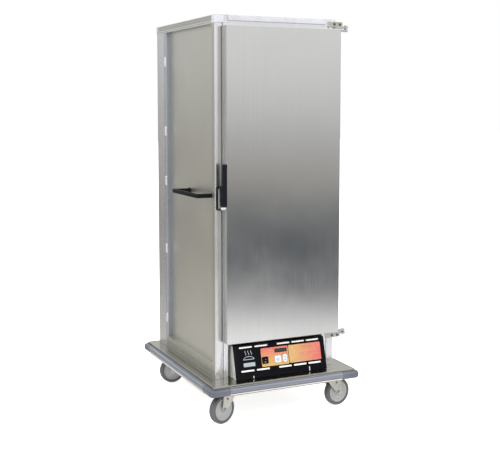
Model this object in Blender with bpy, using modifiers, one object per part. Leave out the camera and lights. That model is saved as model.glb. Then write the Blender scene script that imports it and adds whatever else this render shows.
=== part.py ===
"""Proofing cabinet on casters: a warm, humid cupboard in which trays of dough rise.

Metres, +Z up, +X to the right of someone who faces the door, the door faces -Y.
The origin is on the floor, under the middle of the bumper.
"""

import math

import bmesh
import bpy
from mathutils import Matrix, Vector

# ---------------------------------------------------------------- driving dimensions
CABINET_WIDTH = 0.590
CABINET_DEPTH = 0.735
CABINET_HEIGHT = 1.580
DECK_HEIGHT = 0.178            # top of the deck above the floor
DECK_SIDE = 0.055              # deck showing beside the cabinet
DECK_FRONT = 0.105             # deck showing in front of it
DECK_BACK = 0.020              # deck showing behind it
BUMPER_THICK = 0.020
BUMPER_HEIGHT = 0.037
BUMPER_DROP = 0.007            # from the deck's top down to the bumper's
BUMPER_CORNER = 0.024          # radius of the bumper's corners, seen from above
SEAM = 0.0005                  # gap left between pieces that touch
SHEET = 0.0015                 # common sheet thickness
NEAR = 1e-5                    # two lengths closer than this are the same

HALF_W = CABINET_WIDTH / 2
DECK_HALF_X = HALF_W + DECK_SIDE
DECK_HALF_Y = (DECK_FRONT + CABINET_DEPTH + DECK_BACK) / 2
FRONT = DECK_FRONT - DECK_HALF_Y     # plane of the front posts
BACK = FRONT + CABINET_DEPTH
TOP = DECK_HEIGHT + CABINET_HEIGHT

# frame
POST_WIDTH = 0.060             # front post, across the front
POST_DEPTH = 0.032             # front post, along the side
POST_GROOVE = 0.035            # groove in the front post, from its outer face
GROOVE_WIDTH = 0.007
GROOVE_DEPTH = 0.004
POST_WALL = 0.0025
REAR_POST_DEPTH = 0.114
RAIL_DEPTH = 0.030             # how far the rails and the rear posts reach inwards
RAIL_HEIGHT = 0.034
BOTTOM_RAIL_HEIGHT = 0.055
PLINTH_HEIGHT = 0.021          # the lower, set-back part of a bottom rail
PLINTH_SETBACK = 0.004
PANEL_RECESS = 0.027
BACK_RECESS = 0.011
CORNER_RADIUS = 0.004
HEADER_HEIGHT = 0.040          # flange behind the door's top edge

# door
DOOR_LEFT = -HALF_W + 0.038
DOOR_RIGHT = HALF_W + 0.006
DOOR_BOTTOM = DECK_HEIGHT + 0.159
DOOR_TOP = DECK_HEIGHT + 1.536
DOOR_FRONT = FRONT - 0.042
DOOR_BACK = FRONT - 0.005
DOOR_SHEET = 0.0012
GASKET_WIDTH = 0.012
HINGE_X = HALF_W + 0.033
HINGE_Y = FRONT - 0.030
PIN_RADIUS = 0.004
PIN_CLEARANCE = 0.0006

# floor of the cabinet, slides
FLOOR_TOP = DECK_HEIGHT + 0.180
SILL_BOTTOM = DECK_HEIGHT + 0.147
SLIDE_COUNT = 11
SLIDE_PITCH = 0.1143           # 4.5 inches
FIRST_SLIDE = FLOOR_TOP + 0.035
SLIDE_TIP = 0.2165             # from the middle to a slide's tip
SLIDE_LENGTH = 0.660           # a 26 inch tray

# heater module
MODULE_X = 0.005               # the module sits a little right of the middle
MODULE_HALF = 0.2265
MODULE_HEIGHT = 0.1445
MODULE_DEPTH = 0.420
FASCIA_FOOT = 0.058            # how far the foot of the sloping front stands out
FASCIA_HEAD = 0.020            # and its top edge
FASCIA_THICK = 0.002
OVERLAY_THICK = 0.001
SLOT_CENTRES = (-0.162, -0.0865, 0.0235, 0.098, 0.1715)
SLOT_LENGTH = 0.062
SLOT_HEIGHT = 0.007
SLOT_ROWS = (0.035, 0.138)     # up the slope
OVERLAY_X = (-0.091, 0.044)
OVERLAY_S = (0.044, 0.125)     # up the slope
DISPLAY_X = (-0.021, 0.035)
DISPLAY_S = (0.1020, 0.1145)
SQUARE_KEY = (-0.0255, 0.0045, 0.0550, 0.0855)
TALL_KEY = (0.0150, 0.0345, 0.0530, 0.0890)
ROCKER = (-0.0860, -0.0610, 0.0595, 0.0840)

# side handles
HANDLE_LOW_Y = FRONT + 0.072
HANDLE_HIGH_Y = FRONT + 0.388
HANDLE_Z = DECK_HEIGHT + 0.800
HANDLE_THICK = 0.020
HANDLE_OUT = 0.054             # outside the cabinet's side plane
HANDLE_FOOT = 0.030

# casters
CASTER_FRONT = (0.262, FRONT - 0.047)
CASTER_REAR = (0.246, FRONT + 0.603)
PLATE_TOP = 0.1565             # a 5 inch caster's overall height
PLATE_HALF = 0.042
WHEEL_RADIUS = 0.0635          # a 5 inch wheel
WHEEL_HALF = 0.016
WHEEL_STEPS = 32
TRAIL = 0.030
# name: swivel centre x, y, and the compass angle of the wheel's trail in degrees
CASTERS = {
    "front_left": (-CASTER_FRONT[0], CASTER_FRONT[1], 199.0),
    "front_right": (CASTER_FRONT[0], CASTER_FRONT[1], 7.0),
    "rear_left": (-CASTER_REAR[0], CASTER_REAR[1], 181.0),
    "rear_right": (CASTER_REAR[0], CASTER_REAR[1], 24.0),
}

# name: base colour, roughness, metallic
FINISHES = {
    "stainless": ((0.62, 0.62, 0.60), 0.32, 1.0),
    "aluminium": ((0.78, 0.78, 0.79), 0.36, 1.0),
    "door_sheet": ((0.60, 0.60, 0.60), 0.30, 1.0),
    "bumper_rail": ((0.50, 0.52, 0.56), 0.42, 0.6),
    "bumper_corner": ((0.24, 0.26, 0.28), 0.55, 0.0),
    "black_plastic": ((0.012, 0.012, 0.014), 0.35, 0.0),
    "black_paint": ((0.010, 0.010, 0.012), 0.20, 0.0),
    "red_overlay": ((0.85, 0.22, 0.16), 0.40, 0.0),
    "green_display": ((0.01, 0.06, 0.03), 0.15, 0.0),
    "white_key": ((0.75, 0.80, 0.84), 0.45, 0.0),
    "zinc": ((0.66, 0.64, 0.58), 0.38, 1.0),
    "wheel_rubber": ((0.13, 0.13, 0.14), 0.70, 0.0),
    "seal_rubber": ((0.03, 0.03, 0.03), 0.80, 0.0),
    "heater_tube": ((0.30, 0.27, 0.25), 0.45, 1.0),
}


# ---------------------------------------------------------------- scene and helpers
def clear_scene():
    for old in list(bpy.data.objects):
        bpy.data.objects.remove(old, do_unlink=True)


def new_collection(name):
    found = bpy.data.collections.new(name)
    bpy.context.scene.collection.children.link(found)
    return found


clear_scene()
PARTS = new_collection("proofing_cabinet")
CUTTERS = new_collection("cutters")


def make_finish(name):
    colour, roughness, metallic = FINISHES[name]
    finish = bpy.data.materials.new(name)
    finish.use_nodes = True
    shader = finish.node_tree.nodes["Principled BSDF"]
    shader.inputs["Base Color"].default_value = (*colour, 1.0)
    shader.inputs["Roughness"].default_value = roughness
    shader.inputs["Metallic"].default_value = metallic
    return finish


MATERIALS = {name: make_finish(name) for name in FINISHES}


def add_object(name, data, finish):
    """A part when it has a finish, a cutter when it has none."""
    made = bpy.data.objects.new(name, data)
    if finish is None:
        CUTTERS.objects.link(made)
        made.hide_render = True
        made.display_type = "WIRE"
    else:
        PARTS.objects.link(made)
        data.materials.append(MATERIALS[finish])
    return made


def mesh_object(name, source, finish):
    mesh = bpy.data.meshes.new(name)
    source.to_mesh(mesh)
    source.free()
    return add_object(name, mesh, finish)


def add_cube(source, low, high):
    low, high = Vector(low), Vector(high)
    size = Matrix.Diagonal((*(high - low), 1.0))
    bmesh.ops.create_cube(source, size=1.0, matrix=Matrix.Translation((low + high) / 2) @ size)


def block(name, low, high, finish=None):
    source = bmesh.new()
    add_cube(source, low, high)
    return mesh_object(name, source, finish)


def blocks(name, boxes, finish=None):
    """Boxes that don't touch each other, as one mesh: used as a tool for one Boolean."""
    source = bmesh.new()
    for low, high in boxes:
        add_cube(source, low, high)
    return mesh_object(name, source, finish)


# turns a shape made about Z so that its axis lies along the named one
STANDING = {"Z": Matrix.Identity(4), "Y": Matrix.Rotation(-math.pi / 2, 4, "X")}


def rod(name, centre, radius, length, finish=None, axis="Z", segments=24, radius_2=None):
    """A cylinder, or a cone from radius (at the low end) to radius_2."""
    source = bmesh.new()
    bmesh.ops.create_cone(source, cap_ends=True, segments=segments, radius1=radius,
                          radius2=radius if radius_2 is None else radius_2, depth=length,
                          matrix=Matrix.Translation(centre) @ STANDING[axis])
    return mesh_object(name, source, finish)


def combine(target, tool, operation):
    step = target.modifiers.new(operation.lower(), "BOOLEAN")
    step.operation = operation
    step.solver = "EXACT"
    step.object = tool
    return target


def cut(target, tool):
    return combine(target, tool, "DIFFERENCE")


def join(target, tool):
    return combine(target, tool, "UNION")


def outline(name, loops, thickness, finish=None, matrix=Matrix.Identity(4)):
    """A flat outline in its own XY plane, with holes if it has more loops, made thick along +Z."""
    curve = bpy.data.curves.new(name, "CURVE")
    curve.dimensions = "2D"
    curve.fill_mode = "BOTH"
    curve.extrude = thickness / 2
    for loop in loops:
        spline = curve.splines.new("POLY")
        spline.points.add(len(loop) - 1)
        for point, (x, y) in zip(spline.points, loop):
            point.co = (x, y, 0.0, 1.0)
        spline.use_cyclic_u = True
    flat = bpy.data.objects.new(name + "_outline", curve)
    bpy.context.scene.collection.objects.link(flat)
    bpy.context.view_layer.update()
    mesh = bpy.data.meshes.new_from_object(flat.evaluated_get(bpy.context.evaluated_depsgraph_get()))
    bpy.data.objects.remove(flat, do_unlink=True)
    mesh.name = name
    source = bmesh.new()
    source.from_mesh(mesh)
    bmesh.ops.remove_doubles(source, verts=source.verts, dist=1e-6)
    lift = Matrix.Translation((0, 0, thickness / 2))
    bmesh.ops.transform(source, matrix=matrix @ lift, verts=source.verts)
    bmesh.ops.recalc_face_normals(source, faces=source.faces)
    source.to_mesh(mesh)
    source.free()
    mesh.materials.clear()
    return add_object(name, mesh, finish)


def arc(centre, radius, start, end, steps):
    """Points on a circle from start to end, in degrees."""
    angles = [math.radians(start + (end - start) * i / steps) for i in range(steps + 1)]
    return [(centre[0] + radius * math.cos(a), centre[1] + radius * math.sin(a)) for a in angles]


def rectangle(x0, y0, x1, y1):
    return [(x0, y0), (x1, y0), (x1, y1), (x0, y1)]


def rounded_rectangle(x0, y0, x1, y1, radius, steps=3):
    return (arc((x1 - radius, y0 + radius), radius, -90, 0, steps)
            + arc((x1 - radius, y1 - radius), radius, 0, 90, steps)
            + arc((x0 + radius, y1 - radius), radius, 90, 180, steps)
            + arc((x0 + radius, y0 + radius), radius, 180, 270, steps))


def mirrored(loop):
    return [(-x, y) for x, y in reversed(loop)]


def round_edges(target, width, segments, chosen):
    """Bevels the straight edges for which chosen(first corner, second corner) is true."""
    mesh = target.data
    weights = mesh.attributes.new("bevel_weight_edge", "FLOAT", "EDGE")
    for edge in mesh.edges:
        first, second = (mesh.vertices[i].co for i in edge.vertices)
        weights.data[edge.index].value = 1.0 if chosen(first, second) else 0.0
    bevel = target.modifiers.new("rounded edges", "BEVEL")
    bevel.limit_method = "WEIGHT"
    bevel.width = width
    bevel.segments = segments
    return target


def turned(name, profile, steps, finish, axis="Z", matrix=Matrix.Identity(4)):
    """A closed profile of (radius, height) points turned about Z, or laid over so it turns about Y."""
    source = bmesh.new()
    corners = [source.verts.new((radius, 0.0, height)) for radius, height in profile]
    for i, corner in enumerate(corners):
        source.edges.new((corner, corners[(i + 1) % len(corners)]))
    made = mesh_object(name, source, finish)
    screw = made.modifiers.new("turn", "SCREW")
    screw.steps = screw.render_steps = steps
    screw.use_merge_vertices = True
    screw.merge_threshold = 1e-5
    made.matrix_local = matrix @ STANDING[axis]
    return made


def pivot(name, location, parent=None, rotation=(0.0, 0.0, 0.0)):
    made = bpy.data.objects.new(name, None)
    made.empty_display_size = 0.03
    made.location = location
    made.rotation_euler = rotation
    made.parent = parent
    PARTS.objects.link(made)
    return made


def hang(made, parent):
    """Parents a piece modelled in its parent's own frame."""
    made.parent = parent
    return made


def hang_in_place(made, parent):
    """Parents a piece modelled in world coordinates to an unturned pivot, without moving it."""
    made.parent = parent
    made.matrix_parent_inverse = Matrix.Translation(-parent.location)
    return made


# ---------------------------------------------------------------- base and bumper
def channel_section(middle, half_width, gauge, low, high):
    """A U channel, drawn in (y, z)."""
    left, right = middle - half_width, middle + half_width
    return [(left, low), (right, low), (right, high), (right - gauge, high), (right - gauge, low + gauge),
            (left + gauge, low + gauge), (left + gauge, high), (left, high)]


def make_base():
    """The deck, folded down all round, with a channel across it over each pair of casters."""
    skirt, wall, overlap = 0.036, 0.002, 0.01
    low_z = DECK_HEIGHT - skirt
    pan = block("base_pan", (-DECK_HALF_X, -DECK_HALF_Y, low_z), (DECK_HALF_X, DECK_HALF_Y, DECK_HEIGHT),
                "stainless")
    cut(pan, block("base_pocket", (-DECK_HALF_X + wall, -DECK_HALF_Y + wall, low_z - overlap),
                   (DECK_HALF_X - wall, DECK_HALF_Y - wall, DECK_HEIGHT - wall)))
    half_width, half_length, gauge = 0.045, 0.322, 0.0025
    for place, y in (("front", CASTER_FRONT[1]), ("rear", CASTER_REAR[1])):
        section = channel_section(y, half_width, gauge, PLATE_TOP + SEAM, DECK_HEIGHT - wall / 2)
        join(pan, outline("channel_" + place, [section], 2 * half_length, matrix=along_x(-half_length)))


def along_x(start):
    """Turns an outline drawn in (y, z) so that its thickness runs along +X from start."""
    return Matrix(((0, 0, 1, start), (1, 0, 0, 0), (0, 1, 0, 0), (0, 0, 0, 1)))


def along_y(start):
    """Turns an outline drawn in (x, z) so that its thickness runs along +Y from start."""
    return Matrix(((1, 0, 0, 0), (0, 0, 1, start), (0, 1, 0, 0), (0, 0, 0, 1)))


def along_z(start):
    return Matrix.Translation((0, 0, start))


def make_bumper():
    inner_x, inner_y = DECK_HALF_X + SEAM, DECK_HALF_Y + SEAM
    outer_x, outer_y = DECK_HALF_X + BUMPER_THICK, DECK_HALF_Y + BUMPER_THICK
    crown = DECK_HEIGHT - BUMPER_DROP
    bottom = crown - BUMPER_HEIGHT
    corner_length = 0.092
    seam_x, seam_y = outer_x - corner_length, outer_y - corner_length
    rounding, segments = 0.009, 3

    for place, sign in (("front", -1), ("rear", 1)):
        near, far = sorted((sign * inner_y, sign * outer_y))
        rail = block("bumper_rail_" + place, (-seam_x + SEAM, near, bottom), (seam_x - SEAM, far, crown),
                     "bumper_rail")
        outside = sign * outer_y
        round_edges(rail, rounding, segments,
                    lambda a, b: a.y == b.y and a.z == b.z and abs(a.y - outside) < NEAR)
    for place, sign in (("left", -1), ("right", 1)):
        near, far = sorted((sign * inner_x, sign * outer_x))
        rail = block("bumper_rail_" + place, (near, -seam_y + SEAM, bottom), (far, seam_y - SEAM, crown),
                     "bumper_rail")
        outside = sign * outer_x
        round_edges(rail, rounding, segments,
                    lambda a, b: a.x == b.x and a.z == b.z and abs(a.x - outside) < NEAR)

    def on_outer_edge(a, b):
        """True for the top and bottom edges along the moulding's outer face."""
        outer = all(abs(p.x) > inner_x + NEAR or abs(p.y) > inner_y + NEAR for p in (a, b))
        ends = (all(abs(abs(p.x) - seam_x) < NEAR for p in (a, b))
                or all(abs(abs(p.y) - seam_y) < NEAR for p in (a, b)))
        return abs(a.z - b.z) < NEAR and outer and not ends

    for name, sign_x, sign_y in (("front_left", -1, -1), ("front_right", 1, -1), ("rear_left", -1, 1),
                                 ("rear_right", 1, 1)):
        # drawn for the right rear corner, then mirrored into place
        loop = ([(seam_x, inner_y), (inner_x, inner_y), (inner_x, seam_y), (outer_x, seam_y)]
                + arc((outer_x - BUMPER_CORNER, outer_y - BUMPER_CORNER), BUMPER_CORNER, 0, 90, 8)
                + [(seam_x, outer_y)])
        loop = [(sign_x * x, sign_y * y) for x, y in loop]
        corner = outline("bumper_corner_" + name, [loop], BUMPER_HEIGHT, "bumper_corner", along_z(bottom))
        round_edges(corner, rounding, segments, on_outer_edge)


# ---------------------------------------------------------------- cabinet frame and skins
def make_posts():
    bottom = DECK_HEIGHT + SEAM
    height = TOP - RAIL_HEIGHT - SEAM - bottom
    left = -HALF_W
    groove_in = left + POST_GROOVE
    groove_out = groove_in + GROOVE_WIDTH
    inner, behind = left + POST_WIDTH, FRONT + POST_DEPTH
    front_loop = (arc((left + CORNER_RADIUS, FRONT + CORNER_RADIUS), CORNER_RADIUS, 180, 270, 3)
                  + [(groove_in, FRONT), (groove_in, FRONT + GROOVE_DEPTH),
                     (groove_out, FRONT + GROOVE_DEPTH), (groove_out, FRONT), (inner, FRONT),
                     (inner, behind), (left, behind)])
    back_wall = behind - POST_WALL
    cells = [rectangle(left + POST_WALL, FRONT + POST_WALL, groove_in - POST_WALL, back_wall),
             rectangle(groove_out + POST_WALL, FRONT + POST_WALL, inner - POST_WALL, back_wall)]
    front_loops = [front_loop] + cells

    rear_in = left + RAIL_DEPTH
    rear_front = BACK - REAR_POST_DEPTH
    side_groove = BACK - 0.080
    rear_loop = ([(left, side_groove + GROOVE_WIDTH), (left + GROOVE_DEPTH, side_groove + GROOVE_WIDTH),
                  (left + GROOVE_DEPTH, side_groove), (left, side_groove), (left, rear_front),
                  (rear_in, rear_front), (rear_in, BACK)]
                 + arc((left + CORNER_RADIUS, BACK - CORNER_RADIUS), CORNER_RADIUS, 90, 180, 3))
    rear_cells = [rectangle(left + POST_WALL, rear_front + POST_WALL, rear_in - POST_WALL,
                            side_groove - POST_WALL),
                  rectangle(left + POST_WALL, side_groove + GROOVE_WIDTH + POST_WALL, rear_in - POST_WALL,
                            BACK - POST_WALL)]
    rear_loops = [rear_loop] + rear_cells

    for place, loops in (("front", front_loops), ("rear", rear_loops)):
        outline(f"post_{place}_left", loops, height, "aluminium", along_z(bottom))
        facing_loops = [mirrored(loop) for loop in loops]
        outline(f"post_{place}_right", facing_loops, height, "aluminium", along_z(bottom))


def make_top_frame():
    bottom = TOP - RAIL_HEIGHT
    height = RAIL_HEIGHT - SHEET - SEAM
    wall = 0.002
    frame = outline("top_frame", [rounded_rectangle(-HALF_W, FRONT, HALF_W, BACK, CORNER_RADIUS)], height,
                    "aluminium", along_z(bottom))
    cut(frame, block("top_frame_pocket", (-HALF_W + wall, FRONT + wall, bottom + wall),
                     (HALF_W - wall, BACK - wall, TOP + 0.01)))
    cut(frame, block("top_frame_opening", (-HALF_W + RAIL_DEPTH, FRONT + RAIL_DEPTH, bottom - 0.01),
                     (HALF_W - RAIL_DEPTH, BACK - RAIL_DEPTH, TOP)))
    between_posts = HALF_W - POST_WIDTH - SEAM
    join(frame, block("header_flange", (-between_posts, FRONT + SEAM, bottom - HEADER_HEIGHT),
                      (between_posts, FRONT + SEAM + wall, bottom + wall / 2)))
    step = 0.0008
    cut(frame, block("header_step", (-between_posts + 0.006, FRONT - 0.01, bottom - 0.001),
                     (between_posts - 0.006, FRONT + step, bottom + 0.011)))
    block("roof_panel", (-HALF_W, FRONT, TOP - SHEET), (HALF_W, BACK, TOP), "aluminium")


def rail_section(outer, sign):
    """Hollow bottom rail with a set-back plinth: outer is the outer face, sign points inwards."""
    wall = 0.002
    base = DECK_HEIGHT + SEAM
    step = DECK_HEIGHT + PLINTH_HEIGHT
    crown = DECK_HEIGHT + BOTTOM_RAIL_HEIGHT

    def at(inset, z):
        return (outer + sign * inset, z)

    outside = [at(0, crown), at(RAIL_DEPTH, crown), at(RAIL_DEPTH, base), at(PLINTH_SETBACK, base),
               at(PLINTH_SETBACK, step), at(0, step)]
    inside = [at(wall, crown - wall), at(RAIL_DEPTH - wall, crown - wall), at(RAIL_DEPTH - wall, base + wall),
              at(PLINTH_SETBACK + wall, base + wall), at(PLINTH_SETBACK + wall, step + wall),
              at(wall, step + wall)]
    return [outside, inside]


def make_bottom_rails():
    start = FRONT + POST_DEPTH + SEAM
    length = BACK - REAR_POST_DEPTH - SEAM - start
    for place, outer, sign in (("left", -HALF_W, 1), ("right", HALF_W, -1)):
        outline("bottom_rail_" + place, rail_section(outer, sign), length, "aluminium", along_y(start))
    half = HALF_W - RAIL_DEPTH - SEAM
    outline("bottom_rail_rear", rail_section(BACK, -1), 2 * half, "aluminium", along_x(-half))


def make_skins():
    bottom = DECK_HEIGHT + BOTTOM_RAIL_HEIGHT + SEAM
    crown = TOP - RAIL_HEIGHT - SEAM
    start, end = FRONT + POST_DEPTH + SEAM, BACK - REAR_POST_DEPTH - SEAM
    outside = HALF_W - PANEL_RECESS
    block("side_panel_left", (-outside, start, bottom), (-outside + SHEET, end, crown), "stainless")
    block("side_panel_right", (outside - SHEET, start, bottom), (outside, end, crown), "stainless")
    half = HALF_W - RAIL_DEPTH - SEAM
    rear = BACK - BACK_RECESS
    panel = block("back_panel", (-half, rear - SHEET, bottom), (half, rear, crown), "stainless")
    # the cord's gland: a collar outside the panel and a neck through it
    gland_centre = (0.190, rear, DECK_HEIGHT + 0.100)
    bore, neck, collar, collar_end, neck_end = 0.005, 0.0110, 0.0165, 0.012, -0.014
    cut(panel, rod("gland_hole", gland_centre, neck + SEAM, 0.05, axis="Y"))
    turned("cord_gland", [(bore, collar_end), (collar, collar_end), (collar, SEAM), (neck, SEAM),
                          (neck, neck_end), (bore, neck_end)], 24, "black_plastic", "Y",
           Matrix.Translation(gland_centre))


def make_floor():
    """Cabinet floor: a sheet on the rails, a narrower tongue between the posts and a turned-down sill."""
    between_posts = HALF_W - POST_WIDTH - SEAM
    tongue_end = FRONT + POST_DEPTH + SEAM
    sill_front = FRONT + SEAM
    low = FLOOR_TOP - SHEET
    wide = HALF_W - RAIL_DEPTH - 0.003
    floor = block("cabinet_floor", (-wide, tongue_end, low), (wide, BACK - BACK_RECESS - 0.004, FLOOR_TOP),
                  "stainless")
    join(floor, block("floor_tongue", (-between_posts, sill_front, low),
                      (between_posts, tongue_end + 0.01, FLOOR_TOP)))
    join(floor, block("floor_sill", (-between_posts, sill_front, SILL_BOTTOM),
                      (between_posts, sill_front + 0.002, FLOOR_TOP)))
    vent_width, vent_start, vent_end = 0.030, FRONT + 0.140, FRONT + 0.300
    vents = [((x, vent_start, low - 0.01), (x + vent_width, vent_end, FLOOR_TOP + 0.01))
             for x in (-0.120, -0.070, 0.030, 0.080, 0.130)]
    cut(floor, blocks("floor_vents", vents))


def make_racks():
    """One pressed sheet at each side, with a ledge for every tray."""
    sheet_in, sheet_out = 0.2353, 0.2365
    ledge = 0.0014
    bottom, crown = FLOOR_TOP + SEAM, TOP - RAIL_HEIGHT - 0.006
    start = FRONT + POST_DEPTH + 0.004
    end = start + SLIDE_LENGTH
    floors = [FIRST_SLIDE + i * SLIDE_PITCH for i in range(SLIDE_COUNT)]
    for place, sign in (("left", -1), ("right", 1)):
        near, far = sorted((sign * sheet_in, sign * sheet_out))
        rack = block("pan_rack_" + place, (near, start, bottom), (far, end, crown), "stainless")
        near, far = sorted((sign * SLIDE_TIP, sign * (sheet_in + ledge / 4)))
        ledges = [((near, start, z), (far, end, z + ledge)) for z in floors]
        join(rack, blocks("pan_slides_" + place, ledges))


def make_handles():
    reach = HALF_W + HANDLE_OUT
    root = HALF_W - PANEL_RECESS + SEAM
    bar = 0.020
    for place, sign in (("left", -1), ("right", 1)):
        loop = [(root, HANDLE_LOW_Y), (reach, HANDLE_LOW_Y), (reach, HANDLE_HIGH_Y), (root, HANDLE_HIGH_Y),
                (root, HANDLE_HIGH_Y - HANDLE_FOOT), (reach - bar, HANDLE_HIGH_Y - HANDLE_FOOT),
                (reach - bar, HANDLE_LOW_Y + HANDLE_FOOT), (root, HANDLE_LOW_Y + HANDLE_FOOT)]
        handle = outline("side_handle_" + place, [[(sign * x, y) for x, y in loop]], HANDLE_THICK,
                         "black_plastic", along_z(HANDLE_Z - HANDLE_THICK / 2))
        outside = sign * reach
        round_edges(handle, 0.003, 2, lambda a, b: abs(a.x - outside) < NEAR and abs(b.x - outside) < NEAR)


# ---------------------------------------------------------------- door, hinges, latch
def make_door():
    hinge = pivot("door_hinge_axis", (HINGE_X, HINGE_Y, DOOR_BOTTOM))
    skin = block("door_outer_skin", (DOOR_LEFT, DOOR_FRONT, DOOR_BOTTOM), (DOOR_RIGHT, DOOR_BACK, DOOR_TOP),
                 "door_sheet")
    inset = DOOR_SHEET
    cut(skin, block("door_skin_pocket", (DOOR_LEFT + inset, DOOR_FRONT + inset, DOOR_BOTTOM + inset),
                    (DOOR_RIGHT - inset, DOOR_BACK + 0.01, DOOR_TOP - inset)))
    inset += SEAM
    liner = block("door_inner_liner", (DOOR_LEFT + inset, DOOR_BACK - 0.012, DOOR_BOTTOM + inset),
                  (DOOR_RIGHT - inset, DOOR_BACK, DOOR_TOP - inset), "stainless")
    inset += DOOR_SHEET
    cut(liner, block("door_liner_pocket", (DOOR_LEFT + inset, DOOR_BACK - 0.02, DOOR_BOTTOM + inset),
                     (DOOR_RIGHT - inset, DOOR_BACK - SHEET, DOOR_TOP - inset)))

    seal_half = HALF_W - POST_WIDTH + 0.018
    seal_low, seal_high = DOOR_BOTTOM + 0.004, DOOR_TOP - 0.004
    inner_half = seal_half - GASKET_WIDTH
    loops = [rectangle(-seal_half, seal_low, seal_half, seal_high),
             rectangle(-inner_half, seal_low + GASKET_WIDTH, inner_half, seal_high - GASKET_WIDTH)]
    seal_front = DOOR_BACK + 0.0004
    seal = outline("door_gasket", loops, FRONT - 0.0004 - seal_front, "seal_rubber", along_y(seal_front))
    for piece in (skin, liner, seal):
        hang_in_place(piece, hinge)
    return hinge


def make_hinge(place, hinge, flange_z, tongue_z, pin_z, arm_z):
    """A bracket with its pin on the cabinet, and the arm of the door that turns on the pin."""
    flange_left, flange_right, flange_thick = HALF_W - 0.042, HALF_W + 0.036, 0.003
    tongue_left, tongue_reach = HALF_W - 0.010, 0.0125
    bracket = block("hinge_bracket_" + place, (flange_left, FRONT - flange_thick, flange_z[0]),
                    (flange_right, FRONT - SEAM, flange_z[1]), "zinc")
    join(bracket, block("hinge_tongue_" + place, (tongue_left, HINGE_Y - tongue_reach, tongue_z[0]),
                        (HINGE_X + tongue_reach, FRONT - SEAM - 0.0004, tongue_z[1])))
    join(bracket, rod("hinge_pin_" + place, (HINGE_X, HINGE_Y, sum(pin_z) / 2), PIN_RADIUS,
                      pin_z[1] - pin_z[0], segments=16))
    arm_half = 0.0110
    outer = HINGE_X + arm_half
    arm = block("hinge_arm_" + place, (DOOR_RIGHT + SEAM, HINGE_Y - arm_half, arm_z[0]),
                (outer, HINGE_Y + arm_half, arm_z[1]), "zinc")
    round_edges(arm, 0.006, 3, lambda a, b: a.x == b.x and a.y == b.y and abs(a.x - outer) < NEAR)
    cut(arm, rod("hinge_bore_" + place, (HINGE_X, HINGE_Y, sum(arm_z) / 2), PIN_RADIUS + PIN_CLEARANCE, 0.06,
                 segments=16))
    hang_in_place(arm, hinge)


def make_hinges(hinge):
    """Each list of four holds the low and high z of flange, tongue, pin and arm, measured from the door."""
    top, low = DOOR_TOP, DOOR_BOTTOM
    make_hinge("top", hinge, (top + 0.0100, top + 0.0340), (top + 0.0040, top + 0.0125),
               (top - 0.0100, top + 0.0060), (top - 0.0120, top - 0.0010))
    make_hinge("bottom", hinge, (low - 0.0320, low - 0.0100), (low - 0.0125, low - 0.0040),
               (low - 0.0060, low + 0.0100), (low + 0.0010, low + 0.0120))


def make_latch(hinge):
    right = DOOR_LEFT - SEAM
    left = right - 0.025
    front = FRONT - 0.043
    split = DECK_HEIGHT + 0.8495
    body = block("latch_body", (left, front, DECK_HEIGHT + 0.764), (right, FRONT - 0.022, split - SEAM),
                 "black_plastic")
    round_edges(body, 0.004, 2, lambda a, b: a.x == b.x and a.y == b.y and abs(a.y - front) < NEAR)
    hang_in_place(body, hinge)

    barrel = 0.0065
    axle_y, axle_z = front + barrel, split + barrel
    lever_top = DECK_HEIGHT + 0.946
    lever_axis = pivot("latch_lever_axis", (right - 0.0105, axle_y, axle_z))
    side = (arc((axle_y, axle_z), barrel, 180, 360, 10)
            + [(axle_y + barrel, axle_z + 0.020), (axle_y + 0.003, lever_top - 0.006),
               (axle_y - 0.001, lever_top), (axle_y - 0.005, lever_top), (front, lever_top - 0.006)])
    width = 0.0190
    lever = outline("latch_lever", [side], width, "black_plastic", along_x(right - width))
    hang_in_place(lever, lever_axis)

    strike_low, strike_high = DECK_HEIGHT + 0.7465, DECK_HEIGHT + 0.8487
    strike_left, strike_right = -HALF_W + 0.004, -HALF_W + 0.030
    rim = 0.0032
    strike = block("latch_strike", (strike_left, FRONT - 0.0195, strike_low),
                   (strike_right, FRONT - SEAM, strike_high), "black_plastic")
    cut(strike, block("strike_pocket", (strike_left + rim, FRONT - 0.03, strike_low + rim),
                      (strike_right - rim, FRONT - 0.004, strike_high - rim)))


# ---------------------------------------------------------------- heater module
def make_module():
    module = pivot("module_slide_origin", (MODULE_X, FRONT, DECK_HEIGHT))
    left, right = MODULE_X - MODULE_HALF, MODULE_X + MODULE_HALF
    bottom, crown = DECK_HEIGHT + 0.001, DECK_HEIGHT + MODULE_HEIGHT
    wall = 0.0012
    clear = 0.0045             # keeps the cheeks just behind the fascia
    end = FRONT + MODULE_DEPTH
    side = [(FRONT - FASCIA_FOOT + clear, bottom), (end, bottom), (end, crown),
            (FRONT - FASCIA_HEAD + clear, crown)]
    housing = outline("module_housing", [side], right - left, "stainless", along_x(left))
    cut(housing, block("module_pocket", (left + wall, FRONT - 0.2, bottom + wall),
                       (right - wall, end - wall, crown + 0.01)))
    hang_in_place(housing, module)

    tilt = math.atan2(FASCIA_FOOT - FASCIA_HEAD, MODULE_HEIGHT - 0.0015)
    slope = math.hypot(FASCIA_FOOT - FASCIA_HEAD, MODULE_HEIGHT - 0.0015)
    face = pivot("fascia_frame", (-MODULE_X, -FASCIA_FOOT, 0.0015), module, (-tilt, 0.0, 0.0))
    make_fascia(face, slope)
    make_controls(face)
    make_heater(module)


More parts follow.
